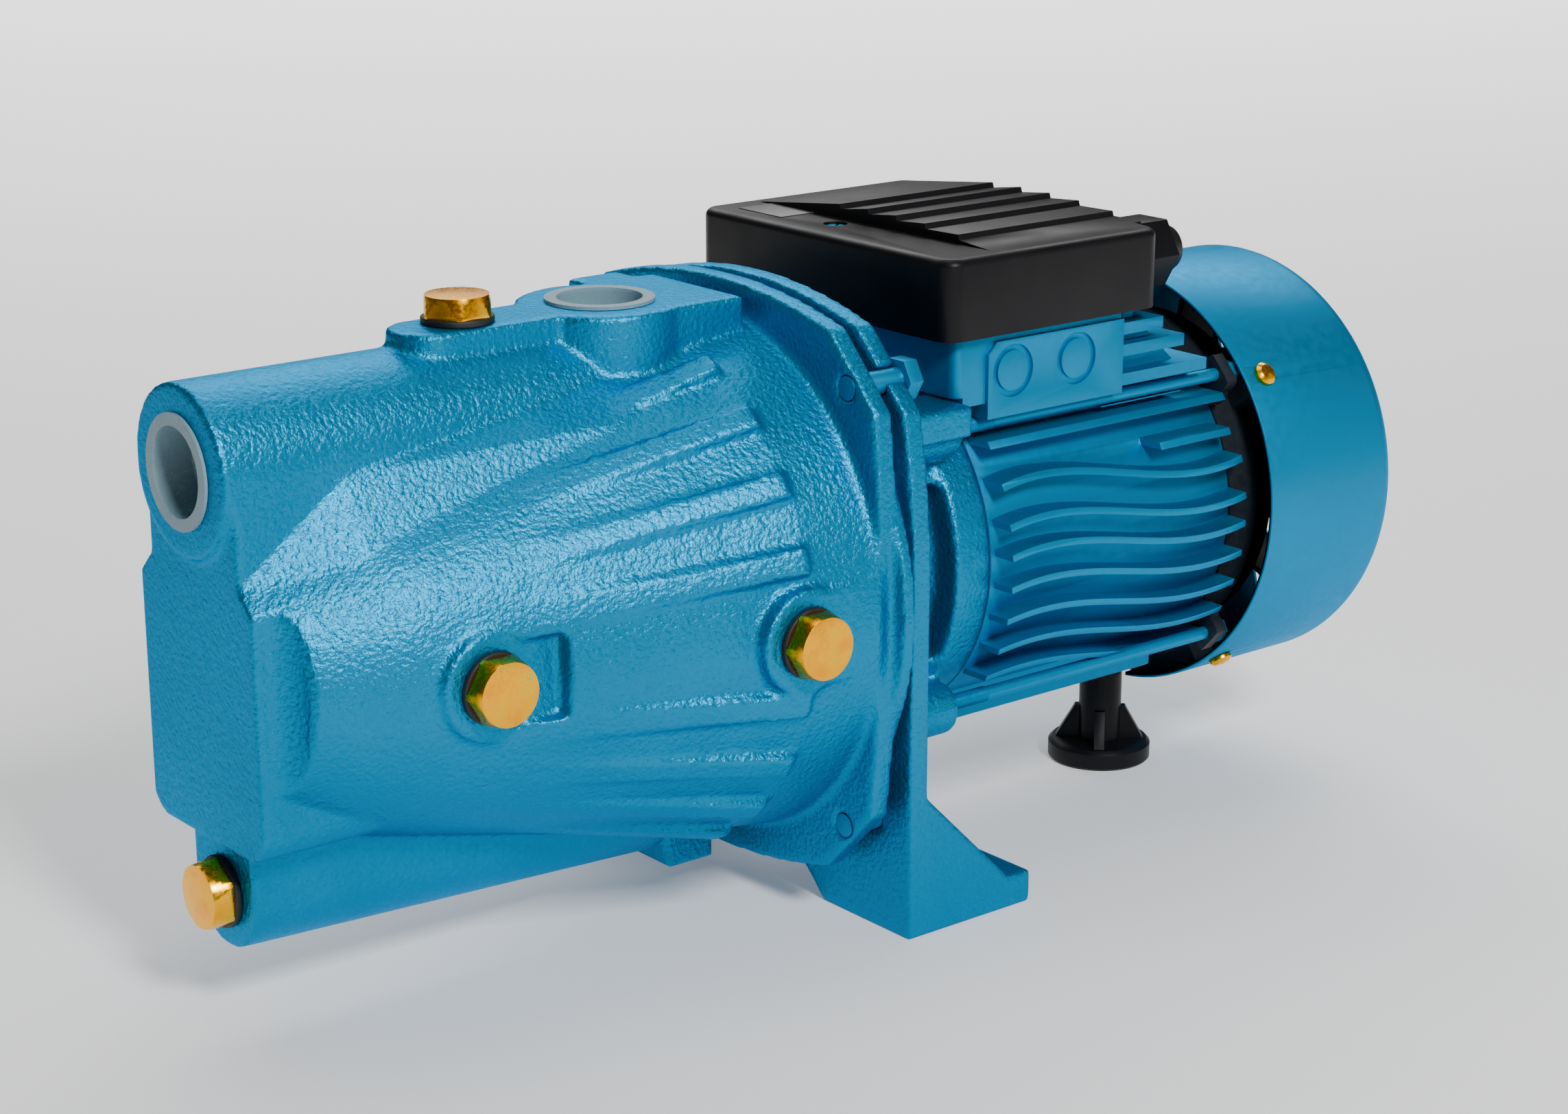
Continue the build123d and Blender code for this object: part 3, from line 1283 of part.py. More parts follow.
with BuildPart() as fan_cover:
    # thin pressed shell with a rounded edge
    with BuildSketch(AXIAL):
        with BuildLine():
            Line((COVER_RIM_X, COVER_R), (COVER_END_X - COVER_EDGE_R, COVER_R))
            RadiusArc(
                (COVER_END_X - COVER_EDGE_R, COVER_R),
                (COVER_END_X, COVER_R - COVER_EDGE_R),
                COVER_EDGE_R,
            )
            Line((COVER_END_X, COVER_R - COVER_EDGE_R), (COVER_END_X, 0))
            Line((COVER_END_X, 0), (COVER_END_X - COVER_T, 0))
            Line((COVER_END_X - COVER_T, 0), (COVER_END_X - COVER_T, COVER_R - COVER_EDGE_R))
            RadiusArc(
                (COVER_END_X - COVER_T, COVER_R - COVER_EDGE_R),
                (COVER_END_X - COVER_EDGE_R, COVER_R - COVER_T),
                -(COVER_EDGE_R - COVER_T),
            )
            Line((COVER_END_X - COVER_EDGE_R, COVER_R - COVER_T), (COVER_RIM_X, COVER_R - COVER_T))
            Line((COVER_RIM_X, COVER_R - COVER_T), (COVER_RIM_X, COVER_R))
        make_face()
    revolve(axis=SHAFT_AXIS)
    # air slots in the end
    with BuildSketch(across(COVER_END_X - COVER_T)):
        with PolarLocations(27, 12):
            SlotOverall(20, 4.5)
        with PolarLocations(49, 24):
            SlotOverall(20, 4.5)
    extrude(amount=COVER_T, mode=Mode.SUBTRACT)
    # notch over the rear foot's boss
    with Locations((COVER_RIM_X, 0, SHAFT_Z - COVER_R)):
        Box(14, 17, 8, mode=Mode.SUBTRACT)
    for angle in COVER_SCREW_ANGLES:
        with BuildSketch(radial_plane(angle)):
            with BuildLine():
                Polyline(
                    (COVER_SCREW_X, COVER_R - 5),
                    (COVER_SCREW_X + COVER_SCREW_R + 0.2, COVER_R - 5),
                    (COVER_SCREW_X + COVER_SCREW_R + 0.2, COVER_R + 5),
                    (COVER_SCREW_X, COVER_R + 5),
                    close=True,
                )
            make_face()
        revolve(axis=cover_screw_axis(angle), mode=Mode.SUBTRACT)
fan_cover.part.label = "fan_cover"
export_step(fan_cover.part, "parts/fan_cover.step")

with BuildPart() as fan_cover_screws:
    for angle in COVER_SCREW_ANGLES:
        with BuildSketch(radial_plane(angle)):
            with BuildLine():
                Polyline(
                    (COVER_SCREW_X, 68),
                    (COVER_SCREW_X + COVER_SCREW_R, 68),
                    (COVER_SCREW_X + COVER_SCREW_R, COVER_R + 0.2),
                    (COVER_SCREW_X + 4.4, COVER_R + 0.2),
                    (COVER_SCREW_X + 4.4, COVER_R + 1.4),
                    (COVER_SCREW_X + 3.0, COVER_R + 2.5),
                    (COVER_SCREW_X, COVER_R + 2.9),
                    close=True,
                )
            make_face()
        revolve(axis=cover_screw_axis(angle))
fan_cover_screws.part.label = "fan_cover_screws"
export_step(fan_cover_screws.part, "parts/fan_cover_screws.step")


# ---------------------------------------------------------------- terminal box
CROWN_X = 18.0
CROWN_HALF = 64.0
CROWN_STEP = 1.8
CROWN_RISERS = [-46, -29, -14, 1, 16]
BOX_MID_X = (BOX_X + BOX_END_X) / 2


def crown(y):
    """Height over the shaft of the cover's bowed top at y, without its steps."""
    rise = BOX_CROWN_Z - BOX_EDGE_Z - CROWN_STEP / 2
    return BOX_EDGE_Z - SHAFT_Z + rise * (1 - (y / CROWN_HALF) ** 2)


with BuildPart() as terminal_cover:
    with BuildSketch(Plane.XY.offset(BOX_LOW_Z)):
        with Locations((BOX_MID_X, 0)):
            RectangleRounded(BOX_END_X - BOX_X, 2 * BOX_HALF, 7)
    extrude(amount=BOX_EDGE_Z - BOX_LOW_Z)
    fillet(faces().sort_by(Axis.Z)[-1].edges(), 3)
    # bowed top in five lapped steps
    steps = []
    for riser in CROWN_RISERS:
        steps.append((riser, crown(riser) - CROWN_STEP / 2))
        steps.append((riser + 0.6, crown(riser) + CROWN_STEP / 2))
    with BuildSketch(across(CROWN_X)):
        with BuildLine():
            Polyline(
                (-CROWN_HALF, BOX_EDGE_Z - SHAFT_Z - 0.2),
                *steps,
                (CROWN_HALF, BOX_EDGE_Z - SHAFT_Z - 0.2),
                (CROWN_HALF, BOX_EDGE_Z - SHAFT_Z - 3),
                (-CROWN_HALF, BOX_EDGE_Z - SHAFT_Z - 3),
                close=True,
            )
        make_face()
    extrude(amount=BOX_END_X - 3 - CROWN_X)
    # hollow, with an inward rib along the lower edge that presses on the gasket
    with BuildSketch(Plane.XY.offset(BOX_LOW_Z)):
        with Locations((47.5, 0)):
            Rectangle(83, 116)
    extrude(amount=2.5, mode=Mode.SUBTRACT)
    with BuildSketch(Plane.XY.offset(BOX_LOW_Z + 2.5)):
        with Locations((BOX_MID_X, 0)):
            RectangleRounded(BOX_END_X - BOX_X - 2 * BOX_WALL, 2 * (BOX_HALF - BOX_WALL), 5)
    extrude(amount=BOX_EDGE_Z - BOX_LOW_Z - 2.5 - BOX_WALL, mode=Mode.SUBTRACT)
    # screw post, its counterbored hole, and the gland's hole
    with BuildSketch(Plane.XY.offset(BOX_LOW_Z)):
        with Locations(LID_SCREW):
            Circle(6)
    extrude(amount=BOX_EDGE_Z - BOX_LOW_Z - 1)
    with BuildSketch(Plane.XY.offset(BOX_LOW_Z)):
        with Locations(LID_SCREW):
            Circle(2.2)
    extrude(amount=40, mode=Mode.SUBTRACT)
    with BuildSketch(Plane.XY.offset(BOX_EDGE_Z - 3.5)):
        with Locations(LID_SCREW):
            Circle(4.3)
    extrude(amount=10, mode=Mode.SUBTRACT)
    with BuildSketch(across(BOX_END_X - BOX_WALL)):
        with Locations((GLAND_Y, GLAND_Z - SHAFT_Z)):
            Circle(GLAND_THREAD_R + 0.1)
    extrude(amount=BOX_WALL, mode=Mode.SUBTRACT)
terminal_cover.part.label = "terminal_cover"
export_step(terminal_cover.part, "parts/terminal_cover.step")

with BuildPart() as terminal_cover_screw:
    with BuildSketch(Plane.XY.offset(187)):
        with Locations(LID_SCREW):
            Circle(2)
    extrude(amount=BOX_EDGE_Z - 3.5 - 187)
    with BuildSketch(Plane.XY.offset(BOX_EDGE_Z - 3.5)):
        with Locations(LID_SCREW):
            Circle(3.9)
    extrude(amount=2.6)
    with BuildSketch(Plane.XY.offset(BOX_EDGE_Z - 0.9)):
        with Locations(LID_SCREW):
            Rectangle(8, 1, rotation=35)
            Rectangle(8, 1, rotation=125)
    extrude(amount=-1.3, mode=Mode.SUBTRACT)
terminal_cover_screw.part.label = "terminal_cover_screw"
export_step(terminal_cover_screw.part, "parts/terminal_cover_screw.step")

with BuildPart() as terminal_gasket:
    with BuildSketch(Plane.XY.offset(BASE_TOP_Z)):
        with Locations((48.5, 0)):
            RectangleRounded(88, 121, 5)
            Rectangle(81, 113, mode=Mode.SUBTRACT)
        with Locations(LID_SCREW):
            Circle(5.5)
        with Locations(LID_SCREW):
            Circle(2.2, mode=Mode.SUBTRACT)
    extrude(amount=BOX_LOW_Z - BASE_TOP_Z)
terminal_gasket.part.label = "terminal_gasket"
export_step(terminal_gasket.part, "parts/terminal_gasket.step")

with BuildPart() as terminal_block:
    with Locations((32, 0, BOX_FLOOR_Z + 5)):
        Box(20, 60, 10)
    with Locations((32, 0, BOX_FLOOR_Z + 10)):
        with GridLocations(10, 14, 2, 4):
            Box(7, 9, 10)
terminal_block.part.label = "terminal_block"
export_step(terminal_block.part, "parts/terminal_block.step")

CAPACITOR_R = 15.5

with BuildPart() as capacitor:
    with BuildSketch(Plane.XZ.offset(-50)):
        with Locations((68, BOX_FLOOR_Z + CAPACITOR_R + 0.1)):
            Circle(CAPACITOR_R)
    extrude(amount=76)
    fillet(edges().filter_by(GeomType.CIRCLE), 1.5)
    with BuildSketch(Plane.XZ.offset(26)):
        with Locations((62, BOX_FLOOR_Z + CAPACITOR_R), (74, BOX_FLOOR_Z + CAPACITOR_R)):
            Rectangle(1, 6.3)
    extrude(amount=7)
capacitor.part.label = "capacitor"
export_step(capacitor.part, "parts/capacitor.step")

# cable gland: body through the cover's wall, locknut inside, compression nut and rubber seal
with BuildPart() as gland_body:
    with BuildSketch(across(BOX_END_X)):
        with Locations((GLAND_Y, GLAND_Z - SHAFT_Z)):
            RegularPolygon(GLAND_AF / math.sqrt(3), 6, rotation=0)
    extrude(amount=7)
    with BuildSketch(across(BOX_END_X - 10)):
        with Locations((GLAND_Y, GLAND_Z - SHAFT_Z)):
            Circle(GLAND_THREAD_R)
    extrude(amount=10)
    with BuildSketch(across(BOX_END_X + 7)):
        with Locations((GLAND_Y, GLAND_Z - SHAFT_Z)):
            Circle(9.4)
    extrude(amount=9)
    with BuildSketch(across(BOX_END_X - 10)):
        with Locations((GLAND_Y, GLAND_Z - SHAFT_Z)):
            Circle(6)
    extrude(amount=30, mode=Mode.SUBTRACT)
gland_body.part.label = "gland_body"
export_step(gland_body.part, "parts/gland_body.step")

with BuildPart() as gland_locknut:
    with BuildSketch(across(BOX_END_X - BOX_WALL - 4)):
        with Locations((GLAND_Y, GLAND_Z - SHAFT_Z)):
            RegularPolygon(22 / math.sqrt(3), 6)
            Circle(GLAND_THREAD_R + 0.1, mode=Mode.SUBTRACT)
    extrude(amount=4)
gland_locknut.part.label = "gland_locknut"
export_step(gland_locknut.part, "parts/gland_locknut.step")

with BuildPart() as gland_nut:
    with BuildSketch(across(BOX_END_X + 7.1)):
        with Locations((GLAND_Y, GLAND_Z - SHAFT_Z)):
            RegularPolygon((GLAND_AF - 2) / math.sqrt(3), 6)
    extrude(amount=14)
    with BuildSketch(across(BOX_END_X + 21.1)):
        with Locations((GLAND_Y, GLAND_Z - SHAFT_Z)):
            Circle(11)
    extrude(amount=7.5, taper=22)
    with BuildSketch(across(BOX_END_X + 7.1)):
        with Locations((GLAND_Y, GLAND_Z - SHAFT_Z)):
            Circle(9.5)
    extrude(amount=16, mode=Mode.SUBTRACT)
    with BuildSketch(across(BOX_END_X + 7.1)):
        with Locations((GLAND_Y, GLAND_Z - SHAFT_Z)):
            Circle(6.2)
    extrude(amount=30, mode=Mode.SUBTRACT)
gland_nut.part.label = "gland_nut"
export_step(gland_nut.part, "parts/gland_nut.step")

with BuildPart() as gland_seal:
    with BuildSketch(across(BOX_END_X + 16.1)):
        with Locations((GLAND_Y, GLAND_Z - SHAFT_Z)):
            Circle(9.3)
            Circle(3.6, mode=Mode.SUBTRACT)
    extrude(amount=6.8)
gland_seal.part.label = "gland_seal"
export_step(gland_seal.part, "parts/gland_seal.step")


# ---------------------------------------------------------------- rear support foot
FOOT_AXIS = Axis((REAR_FOOT_X, 0, 0), (0, 0, 1))
STEM_R = 8.2

with BuildPart() as rear_support_foot:
    with BuildSketch(Plane.XZ):
        with BuildLine():
            Polyline(
                (REAR_FOOT_X, 0),
                (REAR_FOOT_X + REAR_FOOT_R - 1, 0),
                (REAR_FOOT_X + REAR_FOOT_R, 1),
                (REAR_FOOT_X + REAR_FOOT_R, 6.5),
                (REAR_FOOT_X + REAR_FOOT_R - 1.5, 8),
                (REAR_FOOT_X + STEM_R, 8.5),
                (REAR_FOOT_X + STEM_R, REAR_FOOT_TOP_Z),
                (REAR_FOOT_X + REAR_FOOT_PIN_R, REAR_FOOT_TOP_Z),
                (REAR_FOOT_X + REAR_FOOT_PIN_R, REAR_FOOT_TOP_Z + 6),
                (REAR_FOOT_X, REAR_FOOT_TOP_Z + 6),
                close=True,
            )
        make_face()
    revolve(axis=FOOT_AXIS)
    # four gussets between the stem and the disc
    for turn in range(4):
        spoke = math.radians(45 + 90 * turn)
        gusset_plane = Plane(
            origin=(REAR_FOOT_X, 0, 0),
            x_dir=(math.cos(spoke), math.sin(spoke), 0),
            z_dir=(math.sin(spoke), -math.cos(spoke), 0),
        )
        with BuildSketch(gusset_plane):
            with BuildLine():
                Polyline(
                    (STEM_R - 1, 7.5),
                    (REAR_FOOT_R - 2.5, 7.5),
                    (STEM_R + 1.5, 21),
                    (STEM_R - 1, 21),
                    close=True,
                )
            make_face()
        extrude(amount=2, both=True)
rear_support_foot.part.label = "rear_support_foot"
export_step(rear_support_foot.part, "parts/rear_support_foot.step")
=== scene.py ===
import json
import math

import bmesh
import bpy
from mathutils import Matrix, Vector


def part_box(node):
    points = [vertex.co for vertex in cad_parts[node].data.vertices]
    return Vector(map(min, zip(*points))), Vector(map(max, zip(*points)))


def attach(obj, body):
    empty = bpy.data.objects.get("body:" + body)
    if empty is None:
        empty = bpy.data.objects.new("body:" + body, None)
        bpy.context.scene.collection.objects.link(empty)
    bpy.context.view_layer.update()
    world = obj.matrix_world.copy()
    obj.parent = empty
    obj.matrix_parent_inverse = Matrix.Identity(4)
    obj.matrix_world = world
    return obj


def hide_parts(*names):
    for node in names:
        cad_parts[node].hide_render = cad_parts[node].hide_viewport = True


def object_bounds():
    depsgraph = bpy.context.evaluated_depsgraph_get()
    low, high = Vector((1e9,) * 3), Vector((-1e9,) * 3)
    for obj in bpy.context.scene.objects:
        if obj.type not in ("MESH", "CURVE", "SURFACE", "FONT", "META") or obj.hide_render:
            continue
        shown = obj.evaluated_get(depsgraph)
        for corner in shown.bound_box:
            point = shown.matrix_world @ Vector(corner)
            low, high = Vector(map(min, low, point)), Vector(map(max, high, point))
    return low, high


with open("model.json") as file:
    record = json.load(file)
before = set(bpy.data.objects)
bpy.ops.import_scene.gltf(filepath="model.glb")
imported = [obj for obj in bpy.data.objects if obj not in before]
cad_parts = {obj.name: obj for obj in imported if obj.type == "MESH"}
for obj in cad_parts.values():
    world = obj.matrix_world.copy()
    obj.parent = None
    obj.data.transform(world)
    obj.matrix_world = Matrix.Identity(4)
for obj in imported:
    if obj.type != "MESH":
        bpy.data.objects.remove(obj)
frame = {"nodes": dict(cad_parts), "record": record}
cad_low, cad_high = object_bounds()

MM = 0.001
SHAFT_Z = 114 * MM

# the enamel's base colour, and the tint of its highlights
BLUE = (0.0, 0.245, 0.47)
GLAZE = (0.1, 0.7, 1.0, 1.0)
# painted shade: near-black colours standing in for the unlit inside of the motor's rear end
UNLIT = (0.002, 0.006, 0.012)
UNLIT_LIGHT = (0.003, 0.01, 0.018)

# fan cover: a radius just inside its wall, and where its rounded end begins
COVER_WALL_R = 79.7 * MM
COVER_END_X = 204.0 * MM

# return tube: the drain plug's hole, the tube's front wall and the pocket behind it
DRAIN_Z = 43.5 * MM
DRAIN_HOLE_R = 8.3 * MM
TUBE_FRONT_X = -246.3 * MM
TUBE_FRONT_T = 5.0 * MM
TUBE_FRONT_R = 17.6 * MM
POCKET_HALF = 16.5 * MM
POCKET_LOW_Z = 53.0 * MM
POCKET_HIGH_Z = 74.0 * MM

# transport caps of the two ports
CAP_LIP_R = 18.25 * MM
CAP_CUP_R = 14.2 * MM
CAP_WALL = 0.7 * MM
CAP_DEPTH = 13.0 * MM
CAP_LIP_LOW = 0.1 * MM
CAP_LIP_TOP = 1.15 * MM
CAP_DRAFT = 0.4 * MM
CAP_CORNER = 1.0 * MM
CAP_FOOT_INSET = 0.6 * MM
CAP_FLARE = 0.5 * MM

# thread of the tie rods where they enter their lugs, in its coat of paint
TIE_Y = 55.3 * MM
TIE_Z = 49.4 * MM
TIE_THREAD_X = 5.2 * MM
TIE_ROD_R = 2.5 * MM
THREAD_PITCH = 0.8 * MM
THREAD_TURNS = 25
THREAD_CREST = 0.35 * MM
THREAD_ROOT = 0.3 * MM

# blank label panel on the terminal cover
PANEL_LOW = (0.003, 0.031, 0.2239)
PANEL_HIGH = (0.088, 0.055, 0.2243)
PANEL_SOFTENING = 0.4

# shading: edges sharper than this stay crisp
CRISP_ANGLE = 35


# ---------------------------------------------------------------- node helpers
class Nodes:
    """A short way to build a material's node tree."""

    def __init__(self, name):
        self.material = bpy.data.materials.new(name)
        self.material.use_nodes = True
        self.tree = self.material.node_tree
        self.shader = self.tree.nodes["Principled BSDF"]

    def add(self, kind, **inputs):
        """A node of that kind, with its sockets set by name."""
        node = self.tree.nodes.new(kind)
        for socket, value in inputs.items():
            node.inputs[socket.replace("_", " ")].default_value = value
        return node

    def link(self, source, target):
        self.tree.links.new(source, target)

    def place(self):
        """Object-space coordinates, in metres."""
        return self.add("ShaderNodeTexCoord").outputs["Object"]

    def noise(self, scale, detail=2.0, roughness=0.5):
        """Noise of about 1/scale metres, in object space."""
        node = self.add("ShaderNodeTexNoise", Scale=scale, Detail=detail, Roughness=roughness)
        self.link(self.place(), node.inputs["Vector"])
        return node.outputs["Fac"]

    def ramp(self, source, stops):
        """A colour ramp from (position, colour) stops."""
        node = self.add("ShaderNodeValToRGB")
        node.color_ramp.elements[0].position = stops[0][0]
        node.color_ramp.elements[0].color = (*stops[0][1], 1)
        node.color_ramp.elements[1].position = stops[-1][0]
        node.color_ramp.elements[1].color = (*stops[-1][1], 1)
        for position, colour in stops[1:-1]:
            element = node.color_ramp.elements.new(position)
            element.color = (*colour, 1)
        self.link(source, node.inputs["Fac"])
        return node.outputs["Color"]

    def span(self, source, low, high):
        """A value between low and high, following source from 0.3 to 0.7."""
        node = self.add("ShaderNodeMapRange", From_Min=0.3, From_Max=0.7, To_Min=low, To_Max=high)
        self.link(source, node.inputs["Value"])
        return node.outputs["Result"]

    def bump(self, source, strength, distance, normal=None):
        """A bump of that height in metres."""
        node = self.add("ShaderNodeBump", Strength=strength, Distance=distance)
        self.link(source, node.inputs["Height"])
        if normal:
            self.link(normal, node.inputs["Normal"])
        return node.outputs["Normal"]

    def mix(self, factor, a, b):
        """A colour mixed from a to b by factor."""
        node = self.add("ShaderNodeMix")
        node.data_type = "RGBA"
        self.link(factor, node.inputs["Factor"])
        for value, socket in ((a, node.inputs[6]), (b, node.inputs[7])):
            if isinstance(value, tuple):
                socket.default_value = (*value, 1)
            else:
                self.link(value, socket)
        return node.outputs[2]

    def arithmetic(self, operation, *values):
        """A maths node over numbers or other nodes' outputs."""
        node = self.add("ShaderNodeMath")
        node.operation = operation
        for socket, value in zip(node.inputs, values):
            if isinstance(value, (int, float)):
                socket.default_value = value
            else:
                self.link(value, socket)
        return node.outputs["Value"]

    def set(self, **values):
        """Plain numbers and colours set on the shader's own sockets."""
        for socket, value in values.items():
            self.shader.inputs[socket.replace("_", " ")].default_value = value

    def drive(self, socket, source):
        self.link(source, self.shader.inputs[socket])


def shade(colour, factor):
    """A colour made lighter or darker."""
    return tuple(min(1.0, channel * factor) for channel in colour)


# ---------------------------------------------------------------- materials
def cast_paint():
    """Glossy enamel over rough cast iron: a fine pebbled skin with soft low spots."""
    m = Nodes("cast_paint")
    pebble = m.noise(620, 3.0, 0.55)
    broad = m.noise(70, 2.0, 0.5)
    cells = m.add("ShaderNodeTexVoronoi", Scale=540.0)
    m.link(m.place(), cells.inputs["Vector"])
    tone = m.ramp(m.noise(16, 3.0), [(0.3, shade(BLUE, 0.94)), (0.7, shade(BLUE, 1.06))])
    m.drive("Base Color", tone)
    m.drive("Roughness", m.span(pebble, 0.36, 0.46))
    first = m.bump(broad, 0.25, 0.0006)
    second = m.bump(cells.outputs["Distance"], 0.4, 0.0004, first)
    m.drive("Normal", m.bump(pebble, 0.8, 0.0006, second))
    m.set(Specular_IOR_Level=0.5, Specular_Tint=GLAZE, Metallic=0.8)
    return m.material


def satin_enamel(m, colour, peel):
    """The finish that both smooth paints share."""
    m.drive("Base Color", colour)
    m.drive("Roughness", m.span(peel, 0.42, 0.5))
    m.drive("Normal", m.bump(peel, 0.2, 0.00012))
    m.set(Specular_IOR_Level=0.45, Specular_Tint=GLAZE, Metallic=0.7)


def smooth_paint():
    """Satin enamel over a smooth casting or pressing, with a faint orange peel."""
    m = Nodes("smooth_paint")
    peel = m.noise(300, 2.0, 0.45)
    tone = m.ramp(m.noise(12, 2.0), [(0.3, shade(BLUE, 0.95)), (0.7, shade(BLUE, 1.04))])
    satin_enamel(m, tone, peel)
    return m.material


def cover_paint():
    """The fan cover's enamel, with painted shade: near-black on the inside of the pressing, where
    shadow falls.
    """
    m = Nodes("cover_paint")
    peel = m.noise(300, 2.0, 0.45)
    axes = m.add("ShaderNodeSeparateXYZ")
    m.link(m.place(), axes.inputs["Vector"])
    height = m.arithmetic("SUBTRACT", axes.outputs["Z"], SHAFT_Z)
    side = m.arithmetic("MULTIPLY", axes.outputs["Y"], axes.outputs["Y"])
    radius_squared = m.arithmetic("MULTIPLY_ADD", height, height, side)
    outside = m.arithmetic("GREATER_THAN", radius_squared, COVER_WALL_R**2)
    end = m.arithmetic("GREATER_THAN", axes.outputs["X"], COVER_END_X)
    shell = m.arithmetic("MAXIMUM", outside, end)
    tone = m.ramp(m.noise(12, 2.0), [(0.3, shade(BLUE, 0.95)), (0.7, shade(BLUE, 1.04))])
    # painted shade: inside the wall and short of the rounded end the enamel is replaced by the
    # near-black UNLIT colour
    satin_enamel(m, m.mix(shell, UNLIT, tone), peel)
    return m.material


def black_plastic():
    """Satin moulded plastic with a fine spark-eroded grain."""
    m = Nodes("black_plastic")
    grain = m.noise(1500, 2.0, 0.6)
    tone = m.ramp(m.noise(25, 3.0), [(0.3, (0.002, 0.002, 0.003)), (0.7, (0.005, 0.005, 0.006))])
    m.drive("Base Color", tone)
    m.drive("Roughness", m.span(m.noise(60, 3.0), 0.36, 0.46))
    m.drive("Normal", m.bump(grain, 0.25, 0.00008))
    m.set(Specular_IOR_Level=0.2)
    return m.material


def panel_plastic():
    """The cover's blank label panel: the same plastic, a little smoother and greyer."""
    m = Nodes("panel_plastic")
    tone = m.ramp(m.noise(40, 2.0), [(0.3, (0.03, 0.03, 0.032)), (0.7, (0.04, 0.04, 0.042))])
    m.drive("Base Color", tone)
    m.drive("Roughness", m.span(m.noise(400, 2.0), 0.35, 0.42))
    return m.material


def yellow_zinc():
    """Yellow passivated steel: orange-gold with faint green patches, and fine marks."""
    m = Nodes("yellow_zinc")
    bands = [
        (0.3, (0.9, 0.34, 0.0)),
        (0.5, (1.0, 0.44, 0.0)),
        (0.66, (0.9, 0.48, 0.01)),
        (0.8, (0.55, 0.46, 0.06)),
    ]
    m.drive("Base Color", m.ramp(m.noise(120, 2.0, 0.6), bands))
    m.drive("Roughness", m.span(m.noise(900, 2.0), 0.2, 0.34))
    m.drive("Normal", m.bump(m.noise(700, 2.0), 0.15, 0.00006))
    m.set(Metallic=1.0)
    return m.material


def bare_metal(name, low, high, roughness):
    """Plain metal with a fine brushed variation."""
    m = Nodes(name)
    m.drive("Base Color", m.ramp(m.noise(200, 3.0), [(0.3, low), (0.7, high)]))
    m.drive("Roughness", m.span(m.noise(800, 2.0), roughness - 0.06, roughness + 0.08))
    m.drive("Normal", m.bump(m.noise(1200, 2.0), 0.1, 0.00004))
    m.set(Metallic=1.0)
    return m.material


def plain_moulding(name, low, high, roughness):
    """Moulded plastic, ceramic or rubber with a slight tone variation and grain."""
    m = Nodes(name)
    m.drive("Base Color", m.ramp(m.noise(90, 3.0), [(0.3, low), (0.7, high)]))
    m.drive("Roughness", m.span(m.noise(500, 2.0), roughness - 0.06, roughness + 0.08))
    m.drive("Normal", m.bump(m.noise(1000, 2.0), 0.2, 0.00006))
    return m.material


def cap_plastic():
    """Translucent natural polythene."""
    m = Nodes("cap_plastic")
    tone = m.ramp(m.noise(60, 2.0), [(0.3, (0.3, 0.5, 0.58)), (0.7, (0.38, 0.56, 0.64))])
    m.drive("Base Color", tone)
    m.drive("Roughness", m.span(m.noise(300, 2.0), 0.2, 0.3))
    m.set(Transmission_Weight=0.4, IOR=1.35)
    return m.material


def laminations():
    """The stator's and rotor's edge-on sheet stack."""
    m = Nodes("laminations")
    wave = m.add("ShaderNodeTexWave", Scale=320.0, Distortion=0.4)
    m.link(m.place(), wave.inputs["Vector"])
    stack = m.ramp(wave.outputs["Fac"], [(0.2, (0.12, 0.12, 0.13)), (0.8, (0.3, 0.3, 0.31))])
    m.drive("Base Color", stack)
    m.drive("Roughness", m.span(m.noise(500, 2.0), 0.4, 0.55))
    m.drive("Normal", m.bump(wave.outputs["Fac"], 0.3, 0.0001))
    m.set(Metallic=1.0)
    return m.material


def copper():
    """Varnished winding wire."""
    m = Nodes("copper")
    wave = m.add("ShaderNodeTexWave", Scale=180.0, Distortion=2.5, Detail=2.0)
    m.link(m.place(), wave.inputs["Vector"])
    wires = m.ramp(wave.outputs["Fac"], [(0.2, (0.28, 0.08, 0.03)), (0.8, (0.62, 0.26, 0.1))])
    m.drive("Base Color", wires)
    m.drive("Roughness", m.span(m.noise(500, 2.0), 0.25, 0.4))
    m.drive("Normal", m.bump(wave.outputs["Fac"], 0.5, 0.0004))
    m.set(Metallic=0.8)
    return m.material


def floor_material():
    """Plain pale studio floor."""
    m = Nodes("studio_floor")
    m.set(Base_Color=(0.94, 0.94, 0.94, 1), Roughness=0.8)
    m.set(Emission_Color=(1, 1, 1, 1), Emission_Strength=0.15)
    return m.material


CAST_PAINT = cast_paint()
SMOOTH_PAINT = smooth_paint()
COVER_PAINT = cover_paint()
# painted shade: a near-black enamel for the rear end shield, which is really blue, standing in for
# its shadow inside the fan cover
SHADOW_PAINT = plain_moulding("shadowed_enamel", UNLIT, UNLIT_LIGHT, 0.6)
BLACK = black_plastic()
PANEL = panel_plastic()
ZINC = yellow_zinc()
SHAFT_STEEL = bare_metal("shaft_steel", (0.5, 0.5, 0.52), (0.66, 0.66, 0.68), 0.2)
ALUMINIUM = bare_metal("die_cast", (0.5, 0.51, 0.53), (0.62, 0.63, 0.65), 0.42)
BRASS = bare_metal("brass", (0.62, 0.43, 0.16), (0.78, 0.56, 0.24), 0.3)
RUBBER = plain_moulding("rubber", (0.006, 0.006, 0.006), (0.014, 0.014, 0.014), 0.55)
PUMP_PLASTIC = plain_moulding("pump_plastic", (0.03, 0.03, 0.035), (0.06, 0.06, 0.07), 0.5)
TERMINAL_PLASTIC = plain_moulding("terminal_plastic", (0.55, 0.52, 0.45), (0.68, 0.65, 0.57), 0.45)
CERAMIC = plain_moulding("ceramic", (0.78, 0.77, 0.72), (0.88, 0.87, 0.83), 0.25)
CARBON = plain_moulding("carbon", (0.02, 0.02, 0.022), (0.04, 0.04, 0.045), 0.35)
CAP = cap_plastic()
LAMINATIONS = laminations()
COPPER = copper()
